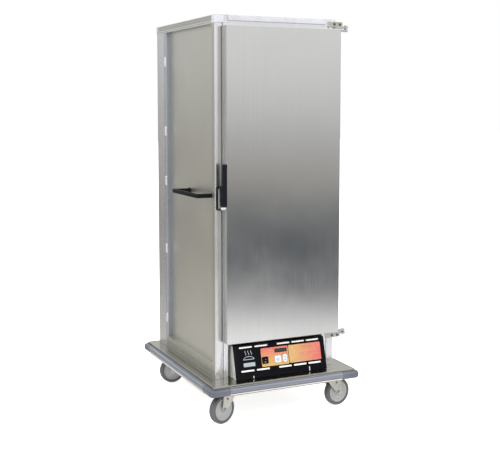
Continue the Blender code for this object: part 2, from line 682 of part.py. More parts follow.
def make_fascia(face, slope):
    """In the fascia's frame: x as in the world, z up the slope, the plate's outside at y = 0."""
    plate = block("control_fascia", (MODULE_X - MODULE_HALF, 0.0, 0.0),
                  (MODULE_X + MODULE_HALF, FASCIA_THICK, slope), "black_paint")
    through, gap = 0.01, 0.0006
    half_long, half_tall = SLOT_LENGTH / 2, SLOT_HEIGHT / 2
    slots = [((x - half_long, -through, s - half_tall), (x + half_long, through, s + half_tall))
             for x in SLOT_CENTRES for s in SLOT_ROWS]
    windows = [((x0 - gap, -through, s0 - gap), (x1 + gap, through, s1 + gap))
               for x0, x1, s0, s1 in ((*DISPLAY_X, *DISPLAY_S), SQUARE_KEY, TALL_KEY, ROCKER)]
    cut(plate, hang(blocks("fascia_slots", slots), face))
    window_cutter = hang(blocks("fascia_windows", windows), face)
    cut(plate, window_cutter)
    overlay = block("control_overlay", (OVERLAY_X[0], -OVERLAY_THICK - 0.0003, OVERLAY_S[0]),
                    (OVERLAY_X[1], -0.0003, OVERLAY_S[1]), "red_overlay")
    round_edges(overlay, 0.005, 3, lambda a, b: a.x == b.x and a.z == b.z)
    cut(overlay, window_cutter)
    for piece in (plate, overlay):
        hang(piece, face)


def key(name, limits, finish, proud, face):
    x0, x1, s0, s1 = limits
    centre = Vector(((x0 + x1) / 2, 0.0, (s0 + s1) / 2))
    axis = pivot(name + "_travel_axis", centre, face)
    made = block(name, (x0 - centre.x, -proud, s0 - centre.z), (x1 - centre.x, 0.0008, s1 - centre.z), finish)
    round_edges(made, 0.004, 3, lambda a, b: a.x == b.x and a.z == b.z)
    return hang(made, axis)


def make_controls(face):
    key("square_key", SQUARE_KEY, "white_key", 0.0025, face)
    tall = key("tall_key", TALL_KEY, "white_key", 0.0025, face)
    tall.modifiers["rounded edges"].width = 0.0075
    tall.modifiers["rounded edges"].segments = 2
    hang(block("display_window", (DISPLAY_X[0], -0.0018, DISPLAY_S[0]), (DISPLAY_X[1], 0.0012, DISPLAY_S[1]),
               "green_display"), face)

    x0, x1, s0, s1 = ROCKER
    middle = (s0 + s1) / 2
    axle_depth, rest_tilt = 0.004, math.radians(10)
    axis = pivot("power_rocker_axis", (0.0, axle_depth, middle), face)
    half, tip, dip = (s1 - s0) / 2 - 0.0022, -0.0095, -0.0070     # tips stand out further than the middle
    shoulder, heel, clearance = 0.003, 0.006, 0.0005
    side = [(dip, 0.0), (tip, half), (shoulder, half - 0.002), (heel, 0.0), (shoulder, -half + 0.002),
            (tip, -half)]
    c, s = math.cos(rest_tilt), math.sin(rest_tilt)
    turned_side = [(y * c - z * s, y * s + z * c) for y, z in side]
    hang(outline("power_rocker", [turned_side], x1 - x0 - 2 * clearance, "black_plastic",
                 along_x(x0 + clearance)), axis)


def make_heater(module):
    """Inside the module: blower at the left, heating element and water pan at the right."""
    base = 0.0028              # just above the housing's bottom sheet
    motor_x, motor_y = -0.150, 0.230
    profile = [(0.006, 0.048), (0.034, 0.048), (0.038, 0.044), (0.038, 0.004), (0.046, 0.004), (0.046, 0.0),
               (0.006, 0.0)]
    motor = turned("blower_motor", profile, 24, "black_plastic",
                   matrix=Matrix.Translation((motor_x, motor_y, base)))
    hang(motor, module)

    spin = pivot("blower_spin_axis", (motor_x, motor_y, base), module)
    wheel = rod("blower_wheel", (0, 0, 0.054), 0.056, 0.003, "zinc", segments=32)
    join(wheel, hang(rod("blower_shaft", (0, 0, 0.0305), 0.0045, 0.047, segments=16), spin))
    count = 16
    blades = bmesh.new()
    for i in range(count):
        turn = Matrix.Rotation(2 * math.pi * i / count, 4, "Z") @ Matrix.Translation((0.049, 0, 0.0705))
        lean = Matrix.Rotation(math.radians(30), 4, "Z") @ Matrix.Diagonal((0.012, 0.0012, 0.033, 1.0))
        bmesh.ops.create_cube(blades, size=1.0, matrix=turn @ lean)
    join(wheel, hang(mesh_object("blower_blades", blades, None), spin))
    hang(wheel, spin)

    element_z, tube = base + 0.030, 0.004
    back, front, low_x, high_x = MODULE_DEPTH - 0.0017, 0.080, -0.060, 0.160
    lanes = [low_x + (high_x - low_x) * i / 3 for i in range(4)]
    bend = (lanes[1] - lanes[0]) / 2
    path = [(lanes[0], back)]
    # two bends at the front, round their lower halves, and one at the back between them
    for i, turn_y, last_angle in ((0, front + bend, 360), (1, back - 0.070, 0), (2, front + bend, 360)):
        path += arc(((lanes[i] + lanes[i + 1]) / 2, turn_y), bend, 180, last_angle, 8)
    path.append((lanes[3], back))
    curve = bpy.data.curves.new("heating_element", "CURVE")
    curve.dimensions = "3D"
    curve.bevel_depth = tube
    curve.bevel_resolution = 2
    curve.use_fill_caps = True
    spline = curve.splines.new("POLY")
    spline.points.add(len(path) - 1)
    for point, (x, y) in zip(spline.points, path):
        point.co = (x, y, element_z, 1.0)
    hang(add_object("heating_element", curve, "heater_tube"), module)

    pan_low, pan_high = element_z + tube + SEAM, element_z + tube + 0.066
    x0, x1, y0, y1 = -0.070, 0.170, 0.110, 0.330
    pan = block("water_pan", (x0, y0, pan_low), (x1, y1, pan_high), "stainless")
    cut(pan, hang(block("water_pan_pocket", (x0 + 0.001, y0 + 0.001, pan_low + 0.001),
                        (x1 - 0.001, y1 - 0.001, pan_high + 0.01)), module))
    rim = hang(block("water_pan_rim", (x0 - 0.008, y0 - 0.008, pan_high - 0.001),
                     (x1 + 0.008, y1 + 0.008, pan_high)), module)
    cut(rim, hang(block("water_pan_rim_hole", (x0 + 0.0005, y0 + 0.0005, pan_high - 0.01),
                        (x1 - 0.0005, y1 - 0.0005, pan_high + 0.01)), module))
    join(pan, rim)
    hang(pan, module)


# ---------------------------------------------------------------- casters
def make_caster(name, x, y, trail_angle):
    """Everything below the plate is modelled about the swivel axis, with the wheel trailing along +X."""
    plate = block("caster_plate_" + name, (x - PLATE_HALF, y - PLATE_HALF, PLATE_TOP - 0.004),
                  (x + PLATE_HALF, y + PLATE_HALF, PLATE_TOP), "zinc")
    join(plate, rod("caster_race_" + name, (x, y, PLATE_TOP - 0.009), 0.022, 0.012, radius_2=0.028))

    swivel = pivot("caster_swivel_" + name, (x, y, PLATE_TOP), rotation=(0, 0, math.radians(trail_angle)))
    crown_top, crown_low, crown_back, crown_front = -0.0155, -0.0190, -0.033, 0.036
    leg_in, leg_out = WHEEL_HALF + 0.0025, WHEEL_HALF + 0.0055
    axle_z = WHEEL_RADIUS * math.cos(math.pi / WHEEL_STEPS) - PLATE_TOP
    fork = block("caster_fork_" + name, (crown_back, -leg_out, crown_low), (crown_front, leg_out, crown_top),
                 "zinc")
    foot, leg_top = 0.013, crown_low + 0.001
    leg = [(crown_back, leg_top)] + arc((TRAIL, axle_z), foot, 205, 360, 8) + [(crown_front, leg_top)]
    for side, start in (("near", -leg_out), ("far", leg_in)):
        join(fork, hang(outline(f"fork_leg_{side}_{name}", [leg], leg_out - leg_in, matrix=along_y(start)),
                        swivel))
    axle_radius, axle_proud = 0.0050, 0.005
    join(fork, hang(rod("fork_axle_" + name, (TRAIL, 0, axle_z), axle_radius, 2 * (leg_out + axle_proud),
                        axis="Y", segments=16), swivel))
    hang(fork, swivel)

    axle = pivot("caster_wheel_axis_" + name, (TRAIL, 0, axle_z), swivel)
    # bore, hub face, web, rim, shoulder and tread, out from the axle
    half_side = [(0.0058, 0.0175), (0.0130, 0.0175), (0.0150, 0.0120), (0.0440, 0.0120), (0.0480, 0.0150),
                 (0.0580, WHEEL_HALF), (0.0620, 0.0125), (WHEEL_RADIUS, 0.0070)]
    profile = half_side + [(r, -w) for r, w in reversed(half_side)]
    facet = Matrix.Rotation(math.pi / WHEEL_STEPS, 4, "Y")     # stands on a flat facet
    hang(turned("caster_wheel_" + name, profile, WHEEL_STEPS, "wheel_rubber", "Y", facet), axle)


make_base()
make_bumper()
make_posts()
make_top_frame()
make_bottom_rails()
make_skins()
make_floor()
make_racks()
make_handles()
DOOR_HINGE = make_door()
make_hinges(DOOR_HINGE)
make_latch(DOOR_HINGE)
make_module()
for caster_name, (caster_x, caster_y, caster_angle) in CASTERS.items():
    make_caster(caster_name, caster_x, caster_y, caster_angle)
bpy.context.view_layer.update()
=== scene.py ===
import math

import bmesh
import bpy
from mathutils import Matrix, Vector


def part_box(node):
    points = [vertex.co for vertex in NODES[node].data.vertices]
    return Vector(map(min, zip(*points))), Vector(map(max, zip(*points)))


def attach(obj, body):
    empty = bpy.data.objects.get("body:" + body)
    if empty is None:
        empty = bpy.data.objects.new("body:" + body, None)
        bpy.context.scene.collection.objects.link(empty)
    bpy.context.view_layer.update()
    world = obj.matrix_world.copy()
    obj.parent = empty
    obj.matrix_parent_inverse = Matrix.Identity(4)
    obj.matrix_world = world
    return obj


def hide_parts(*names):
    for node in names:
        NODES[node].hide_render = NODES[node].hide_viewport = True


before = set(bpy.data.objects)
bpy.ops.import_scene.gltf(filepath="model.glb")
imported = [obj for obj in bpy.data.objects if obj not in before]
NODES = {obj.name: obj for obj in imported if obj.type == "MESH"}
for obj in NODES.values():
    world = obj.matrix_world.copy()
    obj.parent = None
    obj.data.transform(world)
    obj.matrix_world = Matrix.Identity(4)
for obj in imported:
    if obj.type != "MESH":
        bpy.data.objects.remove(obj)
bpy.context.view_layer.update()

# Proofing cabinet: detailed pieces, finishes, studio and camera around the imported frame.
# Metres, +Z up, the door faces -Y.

SCENE = bpy.context.scene
IDENTITY = Matrix.Identity(4)


# ---------------------------------------------------------------- camera, light, floor
def make_camera():
    looks_down, turned_right = math.radians(5.300), math.radians(24.987)
    data = bpy.data.cameras.new("camera")
    data.sensor_width = 36.0
    data.lens = 66.295
    data.shift_x, data.shift_y = 0.0011, -0.0650
    data.clip_start, data.clip_end = 0.1, 100.0
    camera = bpy.data.objects.new("camera", data)
    camera.location = (-1.8253, -3.9593, 1.3695)
    camera.rotation_euler = (math.pi / 2 - looks_down, 0, -turned_right)
    SCENE.collection.objects.link(camera)
    SCENE.camera = camera


def grey(value, tint=(1.0, 1.0, 1.0)):
    return (*(value * part for part in tint), 1.0)


class Tree:
    """A node tree under construction; its methods return output sockets."""

    def __init__(self, owner):
        owner.use_nodes = True
        self.nodes, self.links = owner.node_tree.nodes, owner.node_tree.links

    def give(self, socket, value):
        """Sets a socket to a value, or links another node's output to it."""
        if isinstance(value, bpy.types.NodeSocket):
            self.links.new(value, socket)
        else:
            socket.default_value = value

    def node(self, kind, **inputs):
        made = self.nodes.new(kind)
        for name, value in inputs.items():
            self.give(made.inputs[name.replace("_", " ")], value)
        return made

    def span(self, source, low, high, to_low=0.0, to_high=1.0):
        return self.node("ShaderNodeMapRange", Value=source, From_Min=low, From_Max=high, To_Min=to_low,
                         To_Max=to_high).outputs["Result"]

    def ramp(self, source, stops):
        """Stops are (position, colour)."""
        made = self.node("ShaderNodeValToRGB", Fac=source)
        elements = made.color_ramp.elements         # it starts with two of its own
        while len(elements) < len(stops):
            elements.new(0.5)
        for element, (position, colour) in zip(elements, stops):
            element.position, element.color = position, colour
        return made.outputs["Color"]

    def mix(self, factor, first, second, mode="MIX"):
        made = self.nodes.new("ShaderNodeMix")
        made.data_type = "RGBA"
        made.blend_type = mode
        for socket, value in ((0, factor), (6, first), (7, second)):
            self.give(made.inputs[socket], value)
        return made.outputs[2]


def make_world():
    """A studio as metal sees it: white floor below, a darker room at eye level, a bright wall above."""
    world = bpy.data.worlds.new("studio")
    SCENE.world = world
    tree = Tree(world)
    tree.nodes.clear()
    place = tree.node("ShaderNodeTexCoord").outputs["Generated"]
    axes = tree.node("ShaderNodeSeparateXYZ", Vector=place).outputs
    height = tree.span(axes["Z"], -0.5, 0.5)
    cool, warm = (0.88, 0.98, 1.10), (1.04, 1.00, 0.92)
    # each stop is the upward slope of the ray, the light from there and its tint
    room = [(-0.50, 0.60), (-0.39, 0.70), (-0.31, 0.98), (-0.262, 1.00), (-0.236, 0.94), (-0.222, 0.54),
            (-0.206, 0.16), (-0.188, 0.050, cool), (-0.160, 0.078, cool), (-0.128, 0.135, cool),
            (-0.108, 0.185), (-0.088, 0.290, warm), (-0.060, 0.365, warm), (-0.042, 0.41), (-0.003, 0.56),
            (0.036, 0.66), (0.12, 0.71), (0.50, 0.85)]
    hall = [(-0.50, 0.62), (-0.38, 0.60), (-0.30, 0.63, warm), (-0.245, 0.42, warm), (-0.212, 0.37, warm),
            (-0.180, 0.23, warm), (-0.140, 0.20, warm), (-0.080, 0.28, warm), (-0.018, 0.34, warm),
            (0.047, 0.47), (0.12, 0.52), (0.30, 0.62), (0.50, 0.85)]
    room, hall = (tree.ramp(height, [(slope + 0.5, grey(light, *tint)) for slope, light, *tint in stops])
                  for stops in (room, hall))
    around = tree.mix(tree.span(axes["Y"], -0.25, 0.35), room, hall)        # the hall is behind the cabinet
    studio = tree.node("ShaderNodeBackground", Color=around, Strength=1.45).outputs[0]
    paper = tree.node("ShaderNodeBackground", Color=(1, 1, 1, 1)).outputs[0]
    seen = tree.node("ShaderNodeLightPath").outputs["Is Camera Ray"]
    choose = tree.nodes.new("ShaderNodeMixShader")
    for socket, source in enumerate((seen, studio, paper)):
        tree.give(choose.inputs[socket], source)
    tree.node("ShaderNodeOutputWorld", Surface=choose.outputs[0])


def area_light(name, location, target, size, power):
    data = bpy.data.lights.new(name, "AREA")
    data.shape = "DISK"
    data.size = size
    data.energy = power
    light = bpy.data.objects.new(name, data)
    light.location = location
    light.rotation_euler = (Vector(target) - Vector(location)).to_track_quat("-Z", "Y").to_euler()
    light.visible_glossy = False
    SCENE.collection.objects.link(light)


def make_floor(look):
    mesh = bpy.data.meshes.new("studio_floor")
    source = bmesh.new()
    bmesh.ops.create_grid(source, x_segments=1, y_segments=1, size=30.0)
    source.to_mesh(mesh)
    source.free()
    floor = bpy.data.objects.new("studio_floor", mesh)
    floor.location = (0, 0, -0.0005)
    floor.visible_glossy = False
    mesh.materials.append(look)
    SCENE.collection.objects.link(floor)


# ---------------------------------------------------------------- finishes
LOOKS = {}


class Finish(Tree):
    """A look under construction, filed in LOOKS."""

    def __init__(self, name, colour, roughness, metallic=0.0, **constants):
        material = bpy.data.materials.new(name)
        LOOKS[name] = material              # Blender may rename it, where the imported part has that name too
        super().__init__(material)
        self.shader = self.nodes["Principled BSDF"]
        constants.update(Base_Color=(*colour, 1.0), Roughness=roughness, Metallic=metallic)
        for socket, value in constants.items():
            self.shader.inputs[socket.replace("_", " ")].default_value = value
        self.place = self.node("ShaderNodeTexCoord").outputs["Object"]

    def noise(self, scale, detail=3.0, roughness=0.5):
        """Noise in object space; scale is one number or one for each axis, in cycles a metre."""
        scale = scale if isinstance(scale, tuple) else (scale,) * 3
        place = self.node("ShaderNodeMapping", Vector=self.place, Scale=scale).outputs[0]
        return self.node("ShaderNodeTexNoise", Vector=place, Scale=1.0, Detail=detail,
                         Roughness=roughness).outputs["Fac"]

    def axis(self, name):
        return self.node("ShaderNodeSeparateXYZ", Vector=self.place).outputs[name]

    def worn_edges(self, colour, worn, amount=0.5):
        """Lightens convex edges, as handling does."""
        edge = self.node("ShaderNodeNewGeometry").outputs["Pointiness"]
        return self.mix(self.span(edge, 0.53, 0.60, 0.0, amount), colour, worn)

    def bump(self, heights):
        """Chains (height, strength, distance) bumps into the normal."""
        last = None
        for height, strength, distance in heights:
            made = self.node("ShaderNodeBump", Height=height, Strength=strength, Distance=distance)
            if last is not None:
                self.give(made.inputs["Normal"], last)
            last = made.outputs["Normal"]
        self.give(self.shader.inputs["Normal"], last)

    def use(self, colour, roughness):
        self.give(self.shader.inputs["Base Color"], colour)
        self.give(self.shader.inputs["Roughness"], roughness)


def shade(colour, factor):
    return (*(min(1.0, part * factor) for part in colour), 1.0)


def brushed(name, colour, roughness, grain, metallic=1.0, grain_depth=0.10, waves=0.0, variation=0.06):
    """Brushed sheet: fine scratches along one axis, cloudy handling marks and slight waves in the sheet."""
    look = Finish(name, colour, roughness, metallic)
    fine = {"x": (6, 700, 700), "y": (700, 6, 700), "z": (700, 700, 6)}[grain]
    scratches = look.noise(fine, 4.0, 0.6)
    coarse = look.noise(tuple(part * 0.16 for part in fine), 3.0, 0.55)
    clouds = look.noise(3.2, 4.0, 0.6)
    base = look.ramp(clouds, [(0.30, shade(colour, 1 - variation)), (0.70, shade(colour, 1 + variation))])
    streaks = look.ramp(coarse, [(0.25, grey(1 - variation)), (0.75, grey(1.0))])
    shaded = look.mix(1.0, base, streaks, "MULTIPLY")
    shaded = look.worn_edges(shaded, shade(colour, 1.25), 0.35)
    dull = look.span(look.mix(0.45, clouds, scratches), 0.25, 0.75, roughness - 0.05, roughness + 0.06)
    heights = [(scratches, grain_depth, 0.0003)]
    if waves:
        heights.insert(0, (look.noise((1.1, 1.1, 1.7), 1.0, 0.4), waves, 0.02))
    look.bump(heights)
    look.use(shaded, dull)


def cast(name, colour, roughness, metallic=0.0, speckle=500, depth=0.12, worn=None, variation=0.08,
         **constants):
    """Moulded, painted or plated surface with a fine skin, patchy gloss and lighter edges."""
    look = Finish(name, colour, roughness, metallic, **constants)
    skin = look.noise(speckle, 3.0, 0.6)
    patches = look.noise(14.0, 3.0, 0.6)
    shaded = look.ramp(patches, [(0.3, shade(colour, 1 - variation)), (0.7, shade(colour, 1 + variation))])
    shaded = look.worn_edges(shaded, shade(worn or colour, 1.2), 0.5)
    dull = look.span(patches, 0.3, 0.7, max(0.04, roughness - 0.06), roughness + 0.06)
    look.bump([(skin, depth, 0.0002)])
    look.use(shaded, dull)


def printed(name, along, low, high, start, end, roughness=0.42):
    """Printed film whose colour runs from start to end along an axis."""
    look = Finish(name, start, roughness)
    run = look.span(look.axis(along), low, high, 0.0, 1.0)
    middle = tuple((a + b) / 2 for a, b in zip(start, end))
    ink = look.ramp(run, [(0.0, (*start, 1)), (0.5, (*middle, 1)), (1.0, (*end, 1))])
    specks = look.noise(260, 2.0, 0.5)
    ink = look.mix(look.span(specks, 0.35, 0.7, 0.0, 0.16), ink, (1.0, 0.9, 0.8, 1))
    dull = look.span(look.noise(30, 3.0), 0.3, 0.7, roughness - 0.06, roughness + 0.08)
    look.bump([(specks, 0.06, 0.0001)])
    look.use(ink, dull)


FACE_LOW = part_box("control_fascia")[0]
TILT = math.radians(14.88)
PLATE = 0.002
FACE_Z = FACE_LOW.z + PLATE * math.sin(TILT)
FACE = Matrix.Translation((0, FACE_LOW.y, FACE_Z)) @ Matrix.Rotation(-TILT, 4, "X")

OVERLAY_LOW, OVERLAY_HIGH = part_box("control_overlay")
LABEL_X = (OVERLAY_HIGH.x + 0.003, OVERLAY_HIGH.x + 0.165)

brushed("door_steel", (0.62, 0.62, 0.615), 0.13, "z", waves=0.02, variation=0.025)
brushed("panel_steel", (0.60, 0.60, 0.555), 0.33, "z", waves=0.16)
brushed("inner_steel", (0.60, 0.60, 0.59), 0.36, "y", waves=0.05)
brushed("deck_steel", (0.315, 0.305, 0.265), 0.20, "x", waves=0.08)
brushed("extrusion", (0.76, 0.76, 0.78), 0.24, "z", metallic=0.97, grain_depth=0.06)
# painted shade: a darker, plainer copy of the extrusion for the rear posts and rear corner castings, of which
# only the shaded side is seen
brushed("post_rear_painted_shade", (0.62, 0.625, 0.64), 0.26, "z", metallic=0.97, grain_depth=0.03, variation=0.03)
# painted shade: darker copies of the post finish for the post faces that fall into shade
brushed("post_side_painted_shade", (0.50, 0.50, 0.455), 0.30, "z", metallic=0.97, grain_depth=0.04)
brushed("post_edge_painted_shade", (0.43, 0.45, 0.49), 0.28, "z", metallic=0.97, grain_depth=0.04)
# partly painted highlight: a lighter, half-diffuse copy of the aluminium standing in for the light on the
# front castings and front rail; the panel clips share it
cast("bright_trim_and_highlight", (0.63, 0.64, 0.68), 0.30, 0.60, speckle=300, depth=0.05)
# stainless housing; its lighter, half-diffuse tone is a painted highlight so the narrow left cheek shows
# bright in the shade between door and post
cast("cheek_steel_painted_highlight", (0.80, 0.80, 0.76), 0.34, 0.55, speckle=300, depth=0.06)
# grain along Y is real; the tone darker than the extrusion is painted shade for the side-facing rails, and
# the roof and deck bead carry it too
brushed("extrusion_y_painted_shade", (0.46, 0.46, 0.42), 0.27, "y", metallic=0.97, grain_depth=0.06)
brushed("bumper", (0.27, 0.29, 0.335), 0.34, "x", metallic=0.85, grain_depth=0.05)
cast("bumper_dark", (0.13, 0.142, 0.17), 0.38, 0.60, worn=(0.20, 0.21, 0.24))
# painted reflection: the lip is real, its cream colour stands in for the light it reflects
cast("bumper_lip_highlight", (0.80, 0.78, 0.73), 0.34, 0.55, depth=0.05)
# painted shadow: a brown strip under the lip standing in for the shadow line there
cast("bumper_insert", (0.30, 0.265, 0.235), 0.50, 0.30, depth=0.08)
cast("zinc", (0.50, 0.48, 0.44), 0.30, 0.93, speckle=320, depth=0.10, variation=0.22)
cast("chrome", (0.82, 0.82, 0.83), 0.13, 1.0, depth=0.03)
cast("bolt", (0.44, 0.455, 0.50), 0.34, 0.9, depth=0.06)
# painted shade: a darkened copy of the bolt steel for the hinge pins, their caps and the flange screws,
# standing in for the shade round the hinge arms
cast("bolt_painted_shade", (0.085, 0.090, 0.105), 0.40, 0.6, depth=0.06)
cast("satin_black", (0.006, 0.006, 0.007), 0.40, speckle=900, worn=(0.010, 0.010, 0.010), IOR=1.12)
cast("latch_black", (0.006, 0.007, 0.010), 0.34, speckle=900, worn=(0.009, 0.010, 0.014), IOR=1.16)
cast("gloss_black", (0.004, 0.004, 0.006), 0.20, speckle=60, depth=0.03, worn=(0.01, 0.01, 0.01), IOR=1.12)
printed("overlay", "Z", OVERLAY_LOW.z, OVERLAY_HIGH.z, (0.46, 0.27, 0.035), (0.46, 0.050, 0.045))
printed("label", "X", *LABEL_X, (0.42, 0.255, 0.055), (0.46, 0.045, 0.040))
printed("ink", "X", *LABEL_X, (0.30, 0.085, 0.028), (0.26, 0.022, 0.022))
cast("display", (0.003, 0.016, 0.006), 0.12, speckle=80, depth=0.01)
cast("segments", (0.010, 0.055, 0.020), 0.30, depth=0.01)
cast("key", (0.47, 0.52, 0.56), 0.42, speckle=700, depth=0.05, worn=(0.55, 0.58, 0.62))
cast("symbol", (0.10, 0.17, 0.42), 0.45, depth=0.04)
cast("silver_ink", (0.36, 0.39, 0.43), 0.40, 0.30, depth=0.05)
cast("louvre", (0.86, 0.85, 0.80), 0.30, 0.55, speckle=300, depth=0.06)
cast("tyre", (0.075, 0.075, 0.082), 0.62, speckle=420, depth=0.25, worn=(0.14, 0.14, 0.14))
cast("hub", (0.34, 0.34, 0.335), 0.42, 0.25, speckle=260, depth=0.12)
cast("seal", (0.020, 0.020, 0.021), 0.72, speckle=500, depth=0.2)
cast("shadow_gap", (0.012, 0.012, 0.012), 0.85, speckle=300, depth=0.1)
cast("heater", (0.30, 0.25, 0.21), 0.45, 0.9, speckle=200, depth=0.15)
cast("floor", (0.90, 0.90, 0.90), 0.75, speckle=20, depth=0.02, variation=0.012,
     Emission_Color=(1.0, 1.0, 1.0, 1.0), Emission_Strength=0.72)


# ---------------------------------------------------------------- mesh helpers
def middle_of(node):
    low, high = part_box(node)
    return (low + high) / 2


def placed(x_axis, y_axis, origin=(0, 0, 0)):
    """A matrix whose first two axes are given; the third is their cross product."""
    first, second = Vector(x_axis), Vector(y_axis)
    third = first.cross(second).normalized()
    return Matrix.Translation(origin) @ Matrix((first, second, third)).transposed().to_4x4()


def along_x(start=0.0):
    """Outlines drawn in (y, z), thick along +X."""
    return placed((0, 1, 0), (0, 0, 1), (start, 0, 0))


def along_z(start=0.0):
    return Matrix.Translation((0, 0, start))


def along_y(start=0.0):
    """Outlines drawn in (x, z), thick along -Y from start."""
    return placed((1, 0, 0), (0, 0, 1), (0, start, 0))


def arc(centre, radius, start, end, steps=6):
    angles = [math.radians(start + (end - start) * i / steps) for i in range(steps + 1)]
    return [(centre[0] + radius * math.cos(a), centre[1] + radius * math.sin(a)) for a in angles]


def circle(centre, radius, steps=24):
    return arc(centre, radius, 0, 360 * (steps - 1) / steps, steps - 1)


def rounded(x0, y0, x1, y1, radius, steps=5):
    return (arc((x1 - radius, y0 + radius), radius, -90, 0, steps)
            + arc((x1 - radius, y1 - radius), radius, 0, 90, steps)
            + arc((x0 + radius, y1 - radius), radius, 90, 180, steps)
            + arc((x0 + radius, y0 + radius), radius, 180, 270, steps))


def ring(bm, points, matrix):
    return [bm.verts.new(matrix @ Vector(point)) for point in points]


def bridge(bm, first, second):
    """Faces between two rings; a ring of one corner is a tip."""
    count = max(len(first), len(second))
    for i in range(count):
        j = (i + 1) % count
        corners = [side[k % len(side)] for side, k in ((first, i), (first, j), (second, j), (second, i))]
        bm.faces.new(list(dict.fromkeys(corners)))      # each corner once


def skin(bm, section, stations, closed=False):
    """Skins a (u, v) section placed by each station's matrix."""
    flat = [(u, v, 0) for u, v in section]
    rings = [ring(bm, flat, matrix) for matrix in stations]
    for first, second in zip(rings, rings[1:] + (rings[:1] if closed else [])):
        bridge(bm, first, second)
    if not closed:
        bm.faces.new(rings[0])
        bm.faces.new(rings[-1])


def prism(bm, loop, thickness, matrix=IDENTITY):
    skin(bm, loop, [matrix, matrix @ along_z(thickness)])


def cube(bm, low, high, matrix=IDENTITY):
    low, high = Vector(low), Vector(high)
    size = Matrix.Diagonal((*(high - low), 1.0))
    bmesh.ops.create_cube(bm, size=1.0, matrix=matrix @ Matrix.Translation((low + high) / 2) @ size)


def turned(bm, profile, steps=48, matrix=IDENTITY, closed=False):
    """Turns (radius, height) points about the matrix's Z; a radius of 0 is a tip."""
    angles = [2 * math.pi * i / steps for i in range(steps)]
    rings = []
    for radius, height in profile:
        around = angles if radius else angles[:1]
        rings.append(ring(bm, [(radius * math.cos(a), radius * math.sin(a), height) for a in around], matrix))
    for first, second in zip(rings, rings[1:] + (rings[:1] if closed else [])):
        bridge(bm, first, second)


def plate(bm, loops, thickness, matrix=IDENTITY):
    """A flat plate with holes: the first loop is the outline, the others are holes."""
    flat = bmesh.new()
    for loop in loops:
        corners = [flat.verts.new((u, v, 0)) for u, v in loop]
        for i, corner in enumerate(corners):
            flat.edges.new((corner, corners[(i + 1) % len(corners)]))
    bmesh.ops.triangle_fill(flat, edges=flat.edges[:], use_beauty=True, normal=(0, 0, 1))
    low = {v: bm.verts.new(matrix @ v.co) for v in flat.verts}
    high = {v: bm.verts.new(matrix @ (v.co + Vector((0, 0, thickness)))) for v in flat.verts}
    for face in flat.faces:
        bm.faces.new([low[v] for v in reversed(face.verts)])
        bm.faces.new([high[v] for v in face.verts])
    for edge in flat.edges:
        if len(edge.link_faces) == 1:
            first, second = edge.verts
            bm.faces.new((low[first], low[second], high[second], high[first]))
    flat.free()


def tab(bm, edges, radius, thickness, matrix, steps=5):
    """A plate with round corners; edges are left, low, right and high."""
    plate(bm, [rounded(*edges, radius, steps)], thickness, matrix)


def bezel(bm, hole, rim, radii, thickness, matrix):
    """A frame round a hole, given like a tab's edges; radii are its outer and inner corners."""
    x0, y0, x1, y1 = hole
    plate(bm, [rounded(x0 - rim, y0 - rim, x1 + rim, y1 + rim, radii[0]), rounded(*hole, radii[1])[::-1]],
          thickness, matrix)


def both_ways(profile):
    """A (radius, height) profile closed by its own mirror image below."""
    return profile + [(radius, -height) for radius, height in reversed(profile)]


def screw_head(bm, matrix, radius=0.0045, height=0.0024):
    """A domed head with a round socket, standing out along the matrix's Z."""
    turned(bm, [(0, height * 0.35), (radius * 0.36, height * 0.35), (radius * 0.42, height * 0.98),
                (radius * 0.62, height), (radius * 0.86, height * 0.78), (radius, height * 0.35),
                (radius, -0.0006), (0, -0.0006)], 20, matrix)


def rivet(bm, matrix, radius=0.0032, height=0.0013):
    turned(bm, [(0, height * 0.55), (radius * 0.30, height * 0.55), (radius * 0.36, height),
                (radius * 0.75, height * 0.75), (radius, 0.0), (radius, -0.0005), (0, -0.0005)], 16, matrix)


def hexagon(bm, across, height, matrix):
    """A nut or bolt head with its corners turned off."""
    radius = across / math.sqrt(3)
    skin(bm, circle((0, 0), radius, 6),
         [matrix @ along_z(height * rise) @ Matrix.Diagonal((share, share, 1.0, 1.0))
          for share, rise in ((0.88, 0.0), (1.0, 0.12), (1.0, 0.84), (0.88, 1.0))])


OUT_FRONT = placed((1, 0, 0), (0, 0, 1))       # third axis is -Y
OUT_BACK = placed((-1, 0, 0), (0, 0, 1))       # third axis is +Y
OUT_LEFT = placed((0, -1, 0), (0, 0, 1))       # third axis is -X
OUT_RIGHT = placed((0, 1, 0), (0, 0, 1))       # third axis is +X
OUT_UP = IDENTITY
OUT_DOWN = placed((1, 0, 0), (0, -1, 0))


def at(position, facing=IDENTITY):
    return Matrix.Translation(position) @ facing


def outside(sign):
    return OUT_RIGHT if sign > 0 else OUT_LEFT


def soften(obj, width, segments=2, angle=35):
    bevel = obj.modifiers.new("soft edges", "BEVEL")
    bevel.limit_method = "ANGLE"
    bevel.angle_limit = math.radians(angle)
    bevel.width = width
    bevel.segments = segments
    return bevel


def add(name, bm, body, look, replaces=(), edge=0.0, angle=35, matrix=None, segments=2):
    """Finishes a piece: outward faces, smooth shading, its finish, the body it rides on."""
    bmesh.ops.recalc_face_normals(bm, faces=bm.faces)
    mesh = bpy.data.meshes.new(name)
    bm.to_mesh(mesh)
    bm.free()
    mesh.shade_smooth()
    obj = bpy.data.objects.new(name, mesh)
    SCENE.collection.objects.link(obj)
    if edge:
        soften(obj, edge, segments, angle).harden_normals = True
    else:
        mesh.set_sharp_from_angle(angle=math.radians(angle))
        obj.modifiers.new("flat faces shade flat", "WEIGHTED_NORMAL").keep_sharp = True
    if matrix is not None:
        obj.matrix_world = matrix
    mesh.materials.append(LOOKS[look])
    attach(obj, body)
    if replaces:
        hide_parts(*replaces)
    return obj


